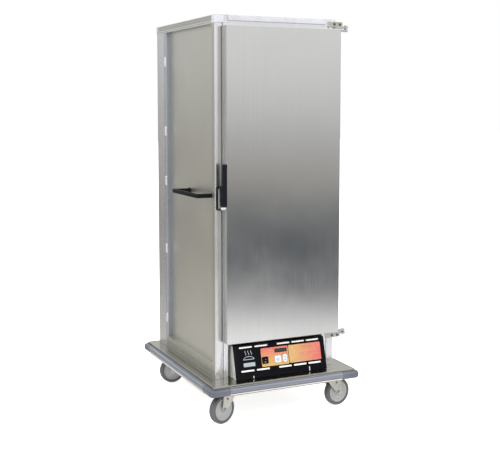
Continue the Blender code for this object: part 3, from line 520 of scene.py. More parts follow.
def finish_node(look, *names, edge=0.0):
    """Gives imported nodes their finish, and rounds their sharp edges where edge is given."""
    for name in names:
        node = NODES[name]
        for place in node.material_slots:
            place.material = LOOKS[look]
        if edge:
            soften(node, edge, 2, 50)


# ---------------------------------------------------------------- frame and skins
FRONT_LOW, FRONT_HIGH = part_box("post_front_right")
REAR_LOW, REAR_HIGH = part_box("post_rear_right")
HALF_W, FRONT, BACK, TOP = FRONT_HIGH.x, FRONT_LOW.y, REAR_HIGH.y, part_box("roof_panel")[1].z
DECK_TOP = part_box("base_pan")[1].z
CLIP_HEIGHTS = tuple(DECK_TOP + rise for rise in (0.147, 0.495, 0.831, 1.072, 1.408))
SIDES = (("left", -1), ("right", 1))


def flip(loop, sign):
    """Mirrors an outline drawn for the right-hand side to the left."""
    return [(sign * x, y) for x, y in loop]


def make_posts():
    nose, drop, land = 0.006, 0.0035, 0.0003
    crown_end = HALF_W - 0.033                 # the crowned face runs down to the groove here
    crown_run = HALF_W - nose - crown_end
    crown_radius = (crown_run ** 2 + drop ** 2) / (2 * drop)
    crown_turn = math.degrees(math.asin(crown_run / crown_radius))
    groove = 0.007
    front = ([(HALF_W, FRONT_HIGH.y)]
             + arc((HALF_W - nose, FRONT + nose), nose, 0, -90, 7)
             + arc((HALF_W - nose, FRONT + crown_radius), crown_radius, -90, -90 - crown_turn, 5)[1:]
             + [(crown_end - 0.0006, FRONT + drop + 0.0006), (crown_end - 0.0006, FRONT + drop + 0.0035),
                (crown_end - groove, FRONT + drop + 0.0035), (crown_end - groove, FRONT + land + 0.0008),
                (crown_end - groove - 0.0008, FRONT + land), (FRONT_LOW.x, FRONT + land),
                (FRONT_LOW.x, FRONT_HIGH.y)])
    big, small = 0.013, 0.006
    rear = ([(REAR_LOW.x, REAR_LOW.y)] + arc((HALF_W - big, REAR_LOW.y + big), big, -90, 0, 8)
            + [(HALF_W, BACK - 0.024), (HALF_W - 0.0012, BACK - 0.0232), (HALF_W - 0.0012, BACK - 0.0208),
               (HALF_W, BACK - 0.020)]
            + arc((HALF_W - small, BACK - small), small, 0, 90, 6) + [(REAR_LOW.x, BACK)])
    for side, sign in SIDES:
        for place, loop, low, high in (("front", front, FRONT_LOW, FRONT_HIGH),
                                       ("rear", rear, REAR_LOW, REAR_HIGH)):
            bm = bmesh.new()
            prism(bm, flip(loop, sign), high.z - low.z, along_z(low.z))
            node = f"post_{place}_{side}"
            # the rear posts take the painted-shade copy of the extrusion
            look = "post_rear_painted_shade" if place == "rear" else "extrusion"
            post = add(node + "_extrusion", bm, "cabinet", look, [node], angle=28)
            # painted shade: the front posts' flat sides and the rear posts' rounded edge take darker copies
            # of the post finish, standing in for the shade on faces turned from the light
            post.data.materials.append(LOOKS["post_side_painted_shade" if place == "front" else "post_edge_painted_shade"])
            # dull marks the faces that take the painted shade
            for face in post.data.polygons:
                dull = abs(face.normal.x) > 0.99 if place == "front" else face.normal.y < -0.2
                face.material_index = int(dull)


def make_clips():
    """Panel keepers down the front edge of each rear post."""
    radius, half = 0.0062, 0.024                # of a keeper's barrel, and half its length
    dome = [(radius * math.cos(math.radians(a)), half - radius + radius * math.sin(math.radians(a)))
            for a in range(0, 90, 18)]
    profile = [(0, half)] + dome[::-1] + [(r, -z) for r, z in dome] + [(0, -half)]
    for side, sign in SIDES:
        bm = bmesh.new()
        for z in CLIP_HEIGHTS:
            turned(bm, profile, 20, at((sign * (HALF_W - radius), REAR_LOW.y + radius, z)))
            screw_head(bm, at((sign * HALF_W, REAR_LOW.y + 0.0064, z), outside(sign)), 0.0022, 0.0006)
        add("panel_clips_" + side, bm, "cabinet", "bright_trim_and_highlight", angle=40)


def make_top():
    """Corner castings, the rounded front rail and the grooved side rails of the roof."""
    flange_top = REAR_HIGH.z + 0.0005
    for place, y0, y1 in (("front", FRONT - 0.0012, FRONT + 0.034), ("rear", BACK - 0.034, BACK + 0.0012)):
        for side, sign in SIDES:
            bm = bmesh.new()
            x0, x1 = sorted((sign * (HALF_W - 0.046), sign * (HALF_W + 0.0012)))
            cube(bm, (x0, y0, flange_top), (x1, y1, TOP + 0.0004))
            # the front castings take the trim with its painted highlight, the rear ones the painted-shade
            # copy of the post finish
            look = "bright_trim_and_highlight" if place == "front" else "post_rear_painted_shade"
            add(f"corner_casting_{place}_{side}", bm, "cabinet", look, edge=0.0045, segments=4)
            bm = bmesh.new()
            rivet(bm, at((sign * (HALF_W + 0.0011), (y0 + y1) / 2, TOP - 0.017), outside(sign)), 0.0038)
            add(f"corner_rivet_{place}_{side}", bm, "cabinet", "chrome", angle=40)

    rail_x, corner = HALF_W - 0.0495, 0.008
    rail_low, rail_high, rail_out = TOP - 0.0225, TOP + 0.0003, 0.0048
    # the front rail takes the trim with its painted highlight, the rear rail the plain extrusion
    for name, look, left, start in (("front", "bright_trim_and_highlight", 0.012, FRONT + 0.002),
                                    ("shadow", "bolt", 0.010, FRONT + 0.0003),
                                    ("rear", "extrusion", 0.0, BACK + 0.0028)):
        bm = bmesh.new()
        if name == "shadow":                # painted shadow: a thin plate in the bolt finish under the front rail stands in for the shadow below it
            tab(bm, (left - rail_x, TOP - 0.0250, rail_x, TOP - 0.0015), corner, 0.0012, along_y(start))
            add("top_rail_shadow", bm, "cabinet", look, angle=50)
        else:
            tab(bm, (left - rail_x, rail_low, rail_x, rail_high), corner, rail_out, along_y(start))
            add("top_rail_" + name, bm, "cabinet", look, edge=0.0022, segments=4)

    section = ([(-0.004, TOP - 0.0004), (0.0, TOP - 0.0004), (0.0010, TOP - 0.0016)]
               + [(out, flange_top + rise) for out, rise in (
                   (0.0006, 0.0110), (-0.0012, 0.0098), (-0.0012, 0.0088), (0.0006, 0.0076),
                   (0.0004, 0.0030), (-0.0016, 0.0012), (-0.004, 0.0012))])
    start, length = FRONT + 0.0335, BACK - FRONT - 0.067
    for side, sign in SIDES:
        bm = bmesh.new()
        loop = [(sign * (HALF_W + u), z) for u, z in section]
        prism(bm, loop, length, placed((1, 0, 0), (0, 0, 1), (0, start + length, 0)))
        # the side rails take the painted-shade copy of the extrusion
        add("top_rail_" + side, bm, "cabinet", "extrusion_y_painted_shade", angle=30)

    bm = bmesh.new()
    for sign in (-1, 1):
        for step in range(6):
            rivet(bm, at((sign * (HALF_W - 0.016), FRONT + 0.075 + step * 0.117, TOP)), 0.0034, 0.0011)
    for x in (-0.14, 0.0, 0.14):
        rivet(bm, at((x, BACK - 0.016, TOP)), 0.0034, 0.0011)
    add("roof_rivets", bm, "cabinet", "chrome", angle=40)
    finish_node("extrusion_y_painted_shade", "roof_panel", edge=0.0005)
    finish_node("extrusion", "top_frame", edge=0.0009)


def make_skins():
    finish_node("panel_steel", "side_panel_left", "side_panel_right", "back_panel", edge=0.0004)
    finish_node("extrusion_y_painted_shade", "bottom_rail_left", "bottom_rail_right", edge=0.0009)
    finish_node("extrusion", "bottom_rail_rear", edge=0.0009)
    finish_node("inner_steel", "cabinet_floor", "pan_rack_left", "pan_rack_right", "water_pan")
    # the module housing takes the steel with its painted highlight
    finish_node("cheek_steel_painted_highlight", "module_housing")
    low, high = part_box("back_panel")
    bm = bmesh.new()
    count = 9
    for i in range(count):
        z = low.z + 0.04 + (high.z - low.z - 0.08) * i / (count - 1)
        for x in (low.x + 0.014, high.x - 0.014):
            rivet(bm, at((x, high.y, z), OUT_BACK))
    add("back_panel_rivets", bm, "cabinet", "chrome", angle=40)

    middle = middle_of("cord_gland")
    facing = at((middle.x, high.y, middle.z), OUT_BACK)
    bm = bmesh.new()
    turned(bm, [(0.0052, 0.0150), (0.0072, 0.0158), (0.0092, 0.0146), (0.0104, 0.0110), (0.0110, 0.0062),
                (0.0110, -0.0140), (0.0052, -0.0140)], 40, facing, closed=True)
    add("cord_gland_body", bm, "cabinet", "satin_black", ["cord_gland"], angle=40)
    bm = bmesh.new()
    turned(bm, [(0.0112, 0.0004), (0.0160, 0.0004), (0.0168, 0.0012), (0.0168, 0.0052), (0.0160, 0.0064),
                (0.0112, 0.0064)], 12, facing, closed=True)
    add("cord_gland_nut", bm, "cabinet", "satin_black", edge=0.0003)


# ---------------------------------------------------------------- base and bumper
RAIL_LOW, RAIL_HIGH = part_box("bumper_rail_rear")
SIDE_LOW, SIDE_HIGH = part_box("bumper_rail_right")
BUMPER_DEPTH = RAIL_HIGH.y - RAIL_LOW.y
BUMPER_HALF = (RAIL_HIGH.z - RAIL_LOW.z) / 2
BUMPER_Z = (RAIL_LOW.z + RAIL_HIGH.z) / 2


def nose(root, middle, half):
    """A swelling half-round face, from its low edge to its high one, as (outward, upward) points."""
    return [(root + (BUMPER_DEPTH - root) * math.cos(a) ** 0.72,
             middle + half * math.copysign(abs(math.sin(a)) ** 0.85, math.sin(a)))
            for a in (math.radians(-84 + 12 * i) for i in range(15))]


def bumper_sections():
    """The rail with its nose, a real lip below the nose whose cream colour is a painted reflection, and below
    that a brown strip that is painted shadow.
    """
    root, low_edge, high_edge, lip_end = 0.0070, -0.0085, 0.0160, -0.0125
    half = BUMPER_HALF
    rail = ([(0.0, -half), (root, -half), (root, low_edge - 0.0002)]
            + nose(root, (low_edge + high_edge) / 2, (high_edge - low_edge) / 2)
            + [(root, high_edge + 0.0002), (root - 0.001, half), (0.0, half)])
    lip = ([(root - 0.001, lip_end)] + arc((0.0150, (lip_end + low_edge) / 2), 0.0019, -90, 90, 6)
           + [(root - 0.001, low_edge - 0.0001)])
    strip = [(root - 0.001, -half + 0.0004), (0.0128, -half + 0.0004), (0.0138, -half + 0.0014),
             (0.0138, lip_end), (root - 0.001, lip_end)]
    return (("extrusion", "bumper", rail), ("lip", "bumper_lip_highlight", lip), ("strip", "bumper_insert", strip))


def outward(position, direction):
    """A section's station: u points outwards, v up."""
    return placed(direction, (0, 0, 1), position)


def make_bumper():
    inner_x, inner_y = SIDE_LOW.x, RAIL_LOW.y
    runs = {name: [outward((x, sign * inner_y, BUMPER_Z), (0, sign, 0)) for x in (RAIL_LOW.x, RAIL_HIGH.x)]
            for name, sign in (("front", -1), ("rear", 1))}
    for name, sign in SIDES:
        runs[name] = [outward((sign * inner_x, y, BUMPER_Z), (sign, 0, 0)) for y in (SIDE_LOW.y, SIDE_HIGH.y)]
    for name, stations in runs.items():
        for kind, look, section in bumper_sections():
            bm = bmesh.new()
            skin(bm, section, stations)
            replaced = ["bumper_rail_" + name] if kind == "extrusion" else []
            add(f"bumper_{name}_{kind}", bm, "cabinet", look, replaced, angle=32)

    half, root = BUMPER_HALF, 0.0050
    section = ([(0.0, 0.002 - half), (root, 0.002 - half)] + nose(root, 0.0, half - 0.0022)
               + [(root, half - 0.001), (0.0, half - 0.001)])
    inside = 0.0045                         # plan radius of the corner's back face
    for name, sign_x, sign_y in (("front_left", -1, -1), ("front_right", 1, -1), ("rear_left", -1, 1),
                                 ("rear_right", 1, 1)):
        stations = [outward((sign_x * (RAIL_HIGH.x + 0.001), sign_y * inner_y, BUMPER_Z), (0, sign_y, 0))]
        for step in range(9):
            turn = math.radians(90 - 90 * step / 8)
            side, along = math.cos(turn), math.sin(turn)
            stations.append(outward((sign_x * (inner_x - inside + inside * side),
                                     sign_y * (inner_y - inside + inside * along), BUMPER_Z),
                                    (sign_x * side, sign_y * along, 0)))
        stations.append(outward((sign_x * inner_x, sign_y * (SIDE_HIGH.y + 0.001), BUMPER_Z), (sign_x, 0, 0)))
        bm = bmesh.new()
        skin(bm, section, stations)
        add("bumper_corner_moulding_" + name, bm, "cabinet", "bumper_dark", ["bumper_corner_" + name],
            angle=32)


def make_deck():
    finish_node("deck_steel", "base_pan", edge=0.0012)
    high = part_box("base_pan")[1]
    bead, proud = 0.0026, 0.0005              # the module slides out over it, 1 mm above the deck
    section = [(-0.003, -0.004), (0.0, -0.004)] + arc((0.0, 0.0), bead, -40, 110, 8) + [(-0.003, bead)]
    x, y, z = high.x - bead, high.y - bead, high.z - bead + proud
    stations = [Matrix(((sign_x, 0, 0, sign_x * x), (sign_y, 0, 0, sign_y * y), (0, 1, 0, z), (0, 0, 0, 1)))
                for sign_x, sign_y in ((1, 1), (-1, 1), (-1, -1), (1, -1))]     # mitred at the corners
    bm = bmesh.new()
    skin(bm, section, stations, closed=True)
    add("deck_bead", bm, "cabinet", "extrusion_y_painted_shade", angle=40)


# ---------------------------------------------------------------- handles
def make_handles():
    for side, sign in SIDES:
        low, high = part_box("side_handle_" + side)
        root, reach = min(abs(low.x), abs(high.x)), max(abs(low.x), abs(high.x))
        bar, foot, outer, inner = 0.020, 0.030, 0.010, 0.006
        near, far = low.y, high.y
        outline = ([(root, near)] + arc((reach - outer, near + outer), outer, -90, 0, 6)
                   + arc((reach - outer, far - outer), outer, 0, 90, 6) + [(root, far), (root, far - foot)]
                   + arc((reach - bar - inner, far - foot - inner), inner, 90, 0, 5)
                   + arc((reach - bar - inner, near + foot + inner), inner, 0, -90, 5)
                   + [(root, near + foot)])
        bm = bmesh.new()
        slim = 0.004                            # the grip is this much slimmer than its solid
        prism(bm, flip(outline, sign), high.z - low.z - slim, along_z(low.z + slim))
        bm.normal_update()
        faces = [f for f in bm.faces if len(f.verts) > 4]
        bmesh.ops.inset_region(bm, faces=faces, thickness=0.0040, depth=0.0)
        bmesh.ops.inset_region(bm, faces=faces, thickness=0.0010, depth=-0.0012)
        add("grip_" + side, bm, "cabinet", "satin_black", ["side_handle_" + side], edge=0.0018, angle=50)
        bm = bmesh.new()
        oval = Matrix.Diagonal((1.9, 1.5, 1.0, 1.0))
        for y in (near + foot / 2, far - foot / 2):
            turned(bm, [(0, 0.0016), (0.009, 0.0016), (0.0105, 0.0), (0, 0.0)], 24,
                   at((sign * (root - 0.0004), y, (low.z + high.z) / 2), outside(sign)) @ oval)
        add("handle_washers_" + side, bm, "cabinet", "satin_black", angle=40)


# ---------------------------------------------------------------- door
SKIN_LOW, SKIN_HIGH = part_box("door_outer_skin")
SEAM_Y = SKIN_LOW.y + 0.0110


def pressing(low, high, face_y, bend, segments):
    """A sheet pan with round folds: its four corners and the edges of its face at face_y."""
    bm = bmesh.new()
    cube(bm, low, high)
    folds = [edge for edge in bm.edges if all(abs(v.co.y - face_y) < 1e-6 for v in edge.verts)
             or abs(edge.verts[0].co.y - edge.verts[1].co.y) > 1e-4]
    bmesh.ops.bevel(bm, geom=folds, offset=bend, segments=segments, profile=0.5, affect="EDGES")
    return bm


def make_door():
    seam, inset = 0.0007, 0.0005            # half the seam's gap, and how much smaller the liner is
    bm = pressing(SKIN_LOW, (SKIN_HIGH.x, SEAM_Y - seam, SKIN_HIGH.z), SKIN_LOW.y, 0.0032, 5)
    add("door_skin_pressing", bm, "door", "door_steel", ["door_outer_skin"], angle=30)
    bm = pressing((SKIN_LOW.x + inset, SEAM_Y + seam, SKIN_LOW.z + inset),
                  (SKIN_HIGH.x - inset, SKIN_HIGH.y, SKIN_HIGH.z - inset), SKIN_HIGH.y, 0.0024, 4)
    add("door_liner_pressing", bm, "door", "panel_steel", ["door_inner_liner"], angle=30)
    bm = bmesh.new()
    cube(bm, (SKIN_LOW.x + 0.002, SEAM_Y - 0.001, SKIN_LOW.z + 0.002),
         (SKIN_HIGH.x - 0.002, SEAM_Y + 0.001, SKIN_HIGH.z - 0.002))
    add("door_seam_core", bm, "door", "shadow_gap")

    seal_low, seal_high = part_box("door_gasket")
    half = 0.006
    bulb = [(-half, 0.0), (-half, 0.0012), (-0.0036, 0.0017), (-0.0046, 0.0029), (-0.0027, 0.0040),
            (0.0, 0.0044), (0.0027, 0.0040), (0.0046, 0.0029), (0.0036, 0.0017), (half, 0.0012), (half, 0.0)]
    x, z0, z1 = seal_high.x - half, seal_low.z + half, seal_high.z - half
    stations = [Matrix(((sign_x, 0, 0, sign_x * x), (0, 1, 0, SKIN_HIGH.y), (sign_z, 0, 0, z), (0, 0, 0, 1)))
                for sign_x, sign_z, z in ((1, 1, z1), (-1, 1, z1), (-1, -1, z0), (1, -1, z0))]
    bm = bmesh.new()
    skin(bm, bulb, stations, closed=True)
    add("door_seal_bulb", bm, "door", "seal", ["door_gasket"], angle=50)

    margin = 2 * half + 0.020               # from the seal's outer edge to the raised field inside it
    bm = bmesh.new()
    tab(bm, (margin - seal_high.x, seal_low.z + margin, seal_high.x - margin, seal_high.z - margin), 0.018,
        0.0032, along_y(SKIN_HIGH.y + 0.0028))
    add("door_liner_field", bm, "door", "panel_steel", edge=0.0022, segments=3)

    bm = bmesh.new()
    for i in range(5):
        z = SKIN_LOW.z + 0.020 + i * (SKIN_HIGH.z - SKIN_LOW.z - 0.040) / 4
        y = (SEAM_Y + SKIN_HIGH.y) / 2
        for x, facing in ((SKIN_LOW.x + inset, OUT_LEFT), (SKIN_HIGH.x - inset, OUT_RIGHT)):
            rivet(bm, at((x, y, z), facing), 0.0030, 0.0007)
    add("door_edge_rivets", bm, "door", "bolt", angle=40)


def make_hinges():
    for place, up in (("top", 1), ("bottom", -1)):
        low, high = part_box("hinge_bracket_" + place)
        arm_low, arm_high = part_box("hinge_arm_" + place)
        arm_middle = (arm_low.z + arm_high.z) / 2
        barrel = (arm_high.y - arm_low.y) / 2
        axis = Vector((arm_high.x - barrel, (arm_low.y + arm_high.y) / 2, 0))
        far = high.z if up > 0 else low.z           # the plate's edge furthest from the door
        flange = sorted((far, far - up * 0.0235))
        tongue = sorted((far - up * 0.0215, far - up * 0.0300))
        ear, gauge = HALF_W + 0.036, 0.0030

        bm = bmesh.new()
        tab(bm, (low.x, flange[0], ear, flange[1]), 0.004, gauge, along_y(FRONT - 0.0003))
        reach = 0.0125
        plan = ([(HALF_W - 0.010, FRONT - 0.0006), (HALF_W - 0.010, FRONT - 0.016)]
                + arc(axis.xy, reach, 205, 365, 12) + [(ear - 0.002, FRONT - 0.0006)])
        prism(bm, plan, tongue[1] - tongue[0], along_z(tongue[0]))
        add("hinge_plate_" + place, bm, "cabinet", "zinc", ["hinge_bracket_" + place], edge=0.0009)

        # pins, pin caps and flange screws take the painted-shade copy of the bolt steel
        near, cap_z = arm_middle - up * 0.004, far - up * 0.0215
        pin = sorted((near, cap_z))
        bm = bmesh.new()
        turned(bm, [(0, pin[0]), (0.0040, pin[0]), (0.0040, pin[1]), (0, pin[1])], 24, at(axis))
        turned(bm, [(0, 0.0042), (0.0035, 0.0039), (0.0058, 0.0026), (0.0064, 0.0), (0.0064, -0.0012),
                    (0, -0.0012)], 24, at((axis.x, axis.y, cap_z), OUT_UP if up > 0 else OUT_DOWN))
        for x in (low.x + 0.035, low.x + 0.063):
            screw_head(bm, at((x, FRONT - gauge, far - up * 0.0105), OUT_FRONT), 0.0062, 0.0026)
        add("hinge_pin_" + place, bm, "cabinet", "bolt_painted_shade", angle=40)

        bm = bmesh.new()
        knuckle = [(0.0047, 0.0004), (barrel - 0.001, 0.0), (barrel, 0.001)]
        turned(bm, [(radius, arm_low.z + inset) for radius, inset in knuckle]
               + [(radius, arm_high.z - inset) for radius, inset in reversed(knuckle)],
               32, at(axis), closed=True)
        cube(bm, (SKIN_HIGH.x - 0.0002, axis.y - 0.0080, arm_low.z + 0.0008),
             (axis.x - 0.0075, axis.y + 0.0080, arm_high.z - 0.0008))
        cube(bm, (SKIN_HIGH.x - 0.0002, SKIN_LOW.y + 0.0030, arm_low.z + 0.0004),
             (SKIN_HIGH.x + 0.0026, SKIN_HIGH.y - 0.003, arm_high.z - 0.0004))
        add("hinge_knuckle_" + place, bm, "door", "bolt", ["hinge_arm_" + place], edge=0.0006)


def make_latch():
    low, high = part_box("latch_body")
    bm = bmesh.new()
    cube(bm, low, high)
    add("latch_case", bm, "door", "latch_black", ["latch_body"], edge=0.0042, segments=4)
    bm = bmesh.new()
    middle = (low.x + high.x) / 2
    for i in range(2):
        x = middle + (i - 0.5) * 0.0085
        cube(bm, (x - 0.0012, low.y - 0.0008, low.z + 0.010), (x + 0.0012, low.y + 0.002, high.z - 0.012))
    add("latch_case_ribs", bm, "door", "latch_black", edge=0.0007)

    # chrome end cap under the case
    half_x, half_y = (high.x - low.x) / 2 + 0.0008, (high.y - low.y) / 2 + 0.0004
    dome = [(0, 0.0), (1.0, 0.0), (1.0, 0.0035), (0.97, 0.0070), (0.88, 0.0105), (0.72, 0.0132),
            (0.48, 0.0150), (0.22, 0.0158), (0, 0.0160)]
    square = 2.6                            # rounds the footprint between a circle and a rectangle
    footprint = [(half_x * math.copysign(abs(c) ** (2 / square), c),
                  half_y * math.copysign(abs(s) ** (2 / square), s)) for c, s in circle((0, 0), 1.0, 40)]
    bm = bmesh.new()
    rings = [ring(bm, [(middle + share * u, (low.y + high.y) / 2 + share * v, low.z - depth)
                       for u, v in (footprint if share else footprint[:1])], IDENTITY)
             for share, depth in dome]
    for first, second in zip(rings, rings[1:]):
        bridge(bm, first, second)
    add("latch_end_cap", bm, "door", "chrome", angle=60)

    low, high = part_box("latch_lever")
    barrel = 0.0065
    axle_y, axle_z = low.y + barrel, low.z + barrel
    side = (arc((axle_y, axle_z), barrel, 180, 360, 14)
            + [(axle_y + barrel, axle_z + 0.020), (axle_y + 0.0050, axle_z + 0.040),
               (axle_y + 0.0030, high.z - 0.014), (axle_y + 0.0012, high.z - 0.004)]
            + arc((axle_y - 0.0025, high.z - 0.0040), 0.0038, 20, 160, 6)
            + [(low.y, high.z - 0.012), (low.y + 0.0012, high.z - 0.030), (low.y + 0.0014, axle_z + 0.030),
               (low.y + 0.0004, axle_z + 0.010)])
    bm = bmesh.new()
    prism(bm, side, high.x - low.x, along_x(low.x))
    add("latch_lever_arm", bm, "latch_lever", "latch_black", ["latch_lever"], edge=0.0012, angle=50)
    bm = bmesh.new()
    for i in range(5):
        z = high.z - 0.024 - i * 0.0055
        cube(bm, (low.x + 0.003, low.y + 0.0004, z), (high.x - 0.003, low.y + 0.003, z + 0.0022))
    add("latch_lever_ribs", bm, "latch_lever", "latch_black", edge=0.0006)

    low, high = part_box("latch_strike")
    rim = 0.0034
    bm = bmesh.new()
    bezel(bm, (low.x + rim, low.z + rim, high.x - rim, high.z - rim), rim, (0.0045, 0.0025),
          high.y - low.y + 0.0035, along_y(high.y + 0.0035))
    add("strike_frame", bm, "cabinet", "satin_black", ["latch_strike"], edge=0.0008)
    bm = bmesh.new()
    lap = rim - 0.0005                      # the floor plate laps under the frame
    tab(bm, (low.x + lap, low.z + lap, high.x - lap, high.z - lap), 0.002, 0.0012, along_y(high.y - 0.0030))
    roller, length = 0.0032, high.z - low.z - 2 * rim - 0.014
    turned(bm, [(0, 0.0), (roller, 0.0), (roller, length), (0, length)], 20,
           at((low.x + rim + 0.0050, high.y - 0.0085, low.z + rim + 0.007)))
    add("strike_roller", bm, "cabinet", "louvre", angle=40)
    bm = bmesh.new()
    for z in (low.z + rim + 0.0045, high.z - rim - 0.0045):
        screw_head(bm, at((high.x - rim - 0.0060, high.y - 0.0042, z), OUT_FRONT), 0.0028, 0.0014)
    add("strike_screws", bm, "cabinet", "bolt", angle=40)


# ---------------------------------------------------------------- heater module
SLOT_CENTRES = (-0.162, -0.0865, 0.0235, 0.098, 0.1715)
SLOT_ROWS = (0.035, 0.138)                 # up the slope
SLOT_LENGTH = 0.062
OVERLAY_OUT = 0.0013                       # how far the overlay stands out of the fascia
KEY_OUT = 0.0025
DISPLAY_OUT = 0.0018
ROCKER_AXLE = 0.004                        # the rocker's axis, behind the fascia
ROCKER_REST = math.radians(10)


def face_span(node, out, deep):
    """A control's left, right, low and high edge on the fascia, from its box and its reach out and in."""
    low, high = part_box(node)
    return (low.x, high.x, (low.z - FACE_Z + deep * math.sin(TILT)) / math.cos(TILT),
            (high.z - FACE_Z - out * math.sin(TILT)) / math.cos(TILT))


def on_face(out=0.0):
    """Outlines drawn in (across, up the slope), thick outwards from a height over the fascia."""
    return FACE @ along_y(-out)


def bar(bm, left, right, s, half, radius, thickness, out):
    """A small flat bar across the fascia, at s up the slope."""
    tab(bm, (left, s - half, right, s + half), radius, thickness, on_face(out), 2)


def louvre(bm, x, s):
    """A lanced hood over a slot: it swells from its ends and opens downwards."""
    section = [(0.0, 0.0037), (0.0010, 0.0035), (0.0020, 0.0024), (0.0027, 0.0006), (0.0030, -0.0020),
               (0.0029, -0.0034), (0.0, -0.0037)]
    half = SLOT_LENGTH / 2 + 0.0005
    end = [(1.0, 0.15), (0.985, 0.55), (0.95, 0.85), (0.90, 1.0)]
    stations = []
    for share, rise in [(-share, rise) for share, rise in end] + end[::-1]:
        spread = 0.72 + 0.28 * rise
        stations.append(FACE @ Matrix(((0, 0, 1, x + share * half), (-rise, 0, 0, 0), (0, spread, 0, s),
                                       (0, 0, 0, 1))))
    skin(bm, section, stations)


def make_fascia():
    finish_node("gloss_black", "control_fascia", edge=0.0005)
    finish_node("overlay", "control_overlay")
    hoods, shadows = bmesh.new(), bmesh.new()
    for x in SLOT_CENTRES:
        for s in SLOT_ROWS:
            louvre(hoods, x, s)
            left, right = x - SLOT_LENGTH / 2, x + SLOT_LENGTH / 2
            bar(shadows, left, right, s - 0.0044, 0.0008, 0.0007, 0.0012, -0.0009)
    add("fascia_louvres", hoods, "module", "louvre", angle=50)
    add("louvre_shadows", shadows, "module", "shadow_gap", angle=50)

    # second printed label, right of the controls
    s0, s1 = face_span("control_overlay", OVERLAY_OUT, -0.0003)[2:]
    x0, x1 = LABEL_X
    bm = bmesh.new()
    tab(bm, (x0, s0 + 0.002, x1, s1), 0.005, 0.0010, on_face(0.0001))
    add("instruction_label", bm, "module", "label", edge=0.0003)

    # plain broken rules in place of print: where each starts, ends and lies, as shares of the label
    bm = bmesh.new()
    words, film = 5, 0.00012
    for start, end, level in ((0.36, 0.72, 0.86), (0.42, 0.78, 0.76), (0.30, 0.84, 0.50), (0.36, 0.70, 0.40)):
        pitch = (x1 - x0) * (end - start) / words
        for i in range(words):
            left = x0 + (x1 - x0) * start + pitch * i
            right = left + pitch * (0.62 + 0.3 * ((i * 7 + words) % 3) / 2)
            bar(bm, left, right, s0 + (s1 - s0) * level, 0.0011, 0.0009, film, 0.0011)
    for level in (0.88, 0.79):
        for left in (OVERLAY_LOW.x + 0.008, OVERLAY_LOW.x + 0.020):
            bar(bm, left, left + 0.010, s0 + (s1 - s0) * level, 0.0010, 0.0008, film, OVERLAY_OUT)
    add("printed_rules", bm, "module", "ink", angle=50)


def make_pictogram():
    """A plain picture, a loaf under three wisps of steam, and a blank plate where a badge would be."""
    middle = (FACE_LOW.x + 0.026 + OVERLAY_LOW.x - 0.016) / 2
    film, thick, steps = 0.0004, 0.0011, 12         # thick is half a wisp's width

    def loaf(half_width, height, s):
        return [(middle + half_width * math.cos(a), s + height * math.sin(a) ** 0.8)
                for a in (math.pi * i / 20 for i in range(21))]

    bm = bmesh.new()
    plate(bm, [loaf(0.026, 0.015, 0.083), loaf(0.023, 0.0098, 0.0856)[::-1]], film, on_face())
    for wisp in (-0.014, 0.0, 0.014):
        line = [(middle + wisp + 0.0022 * math.sin(2 * math.pi * share), 0.1030 + 0.0200 * share)
                for share in (step / steps for step in range(steps + 1))]
        loop = [(x - thick, s) for x, s in line] + [(x + thick, s) for x, s in reversed(line)]
        plate(bm, [loop], film, on_face())
    add("steam_pictogram", bm, "module", "silver_ink", angle=50)
    bm = bmesh.new()
    tab(bm, (middle - 0.028, 0.0530, middle + 0.028, 0.0700), 0.0030, 0.0009, on_face())
    add("blank_badge", bm, "module", "silver_ink", edge=0.0003)


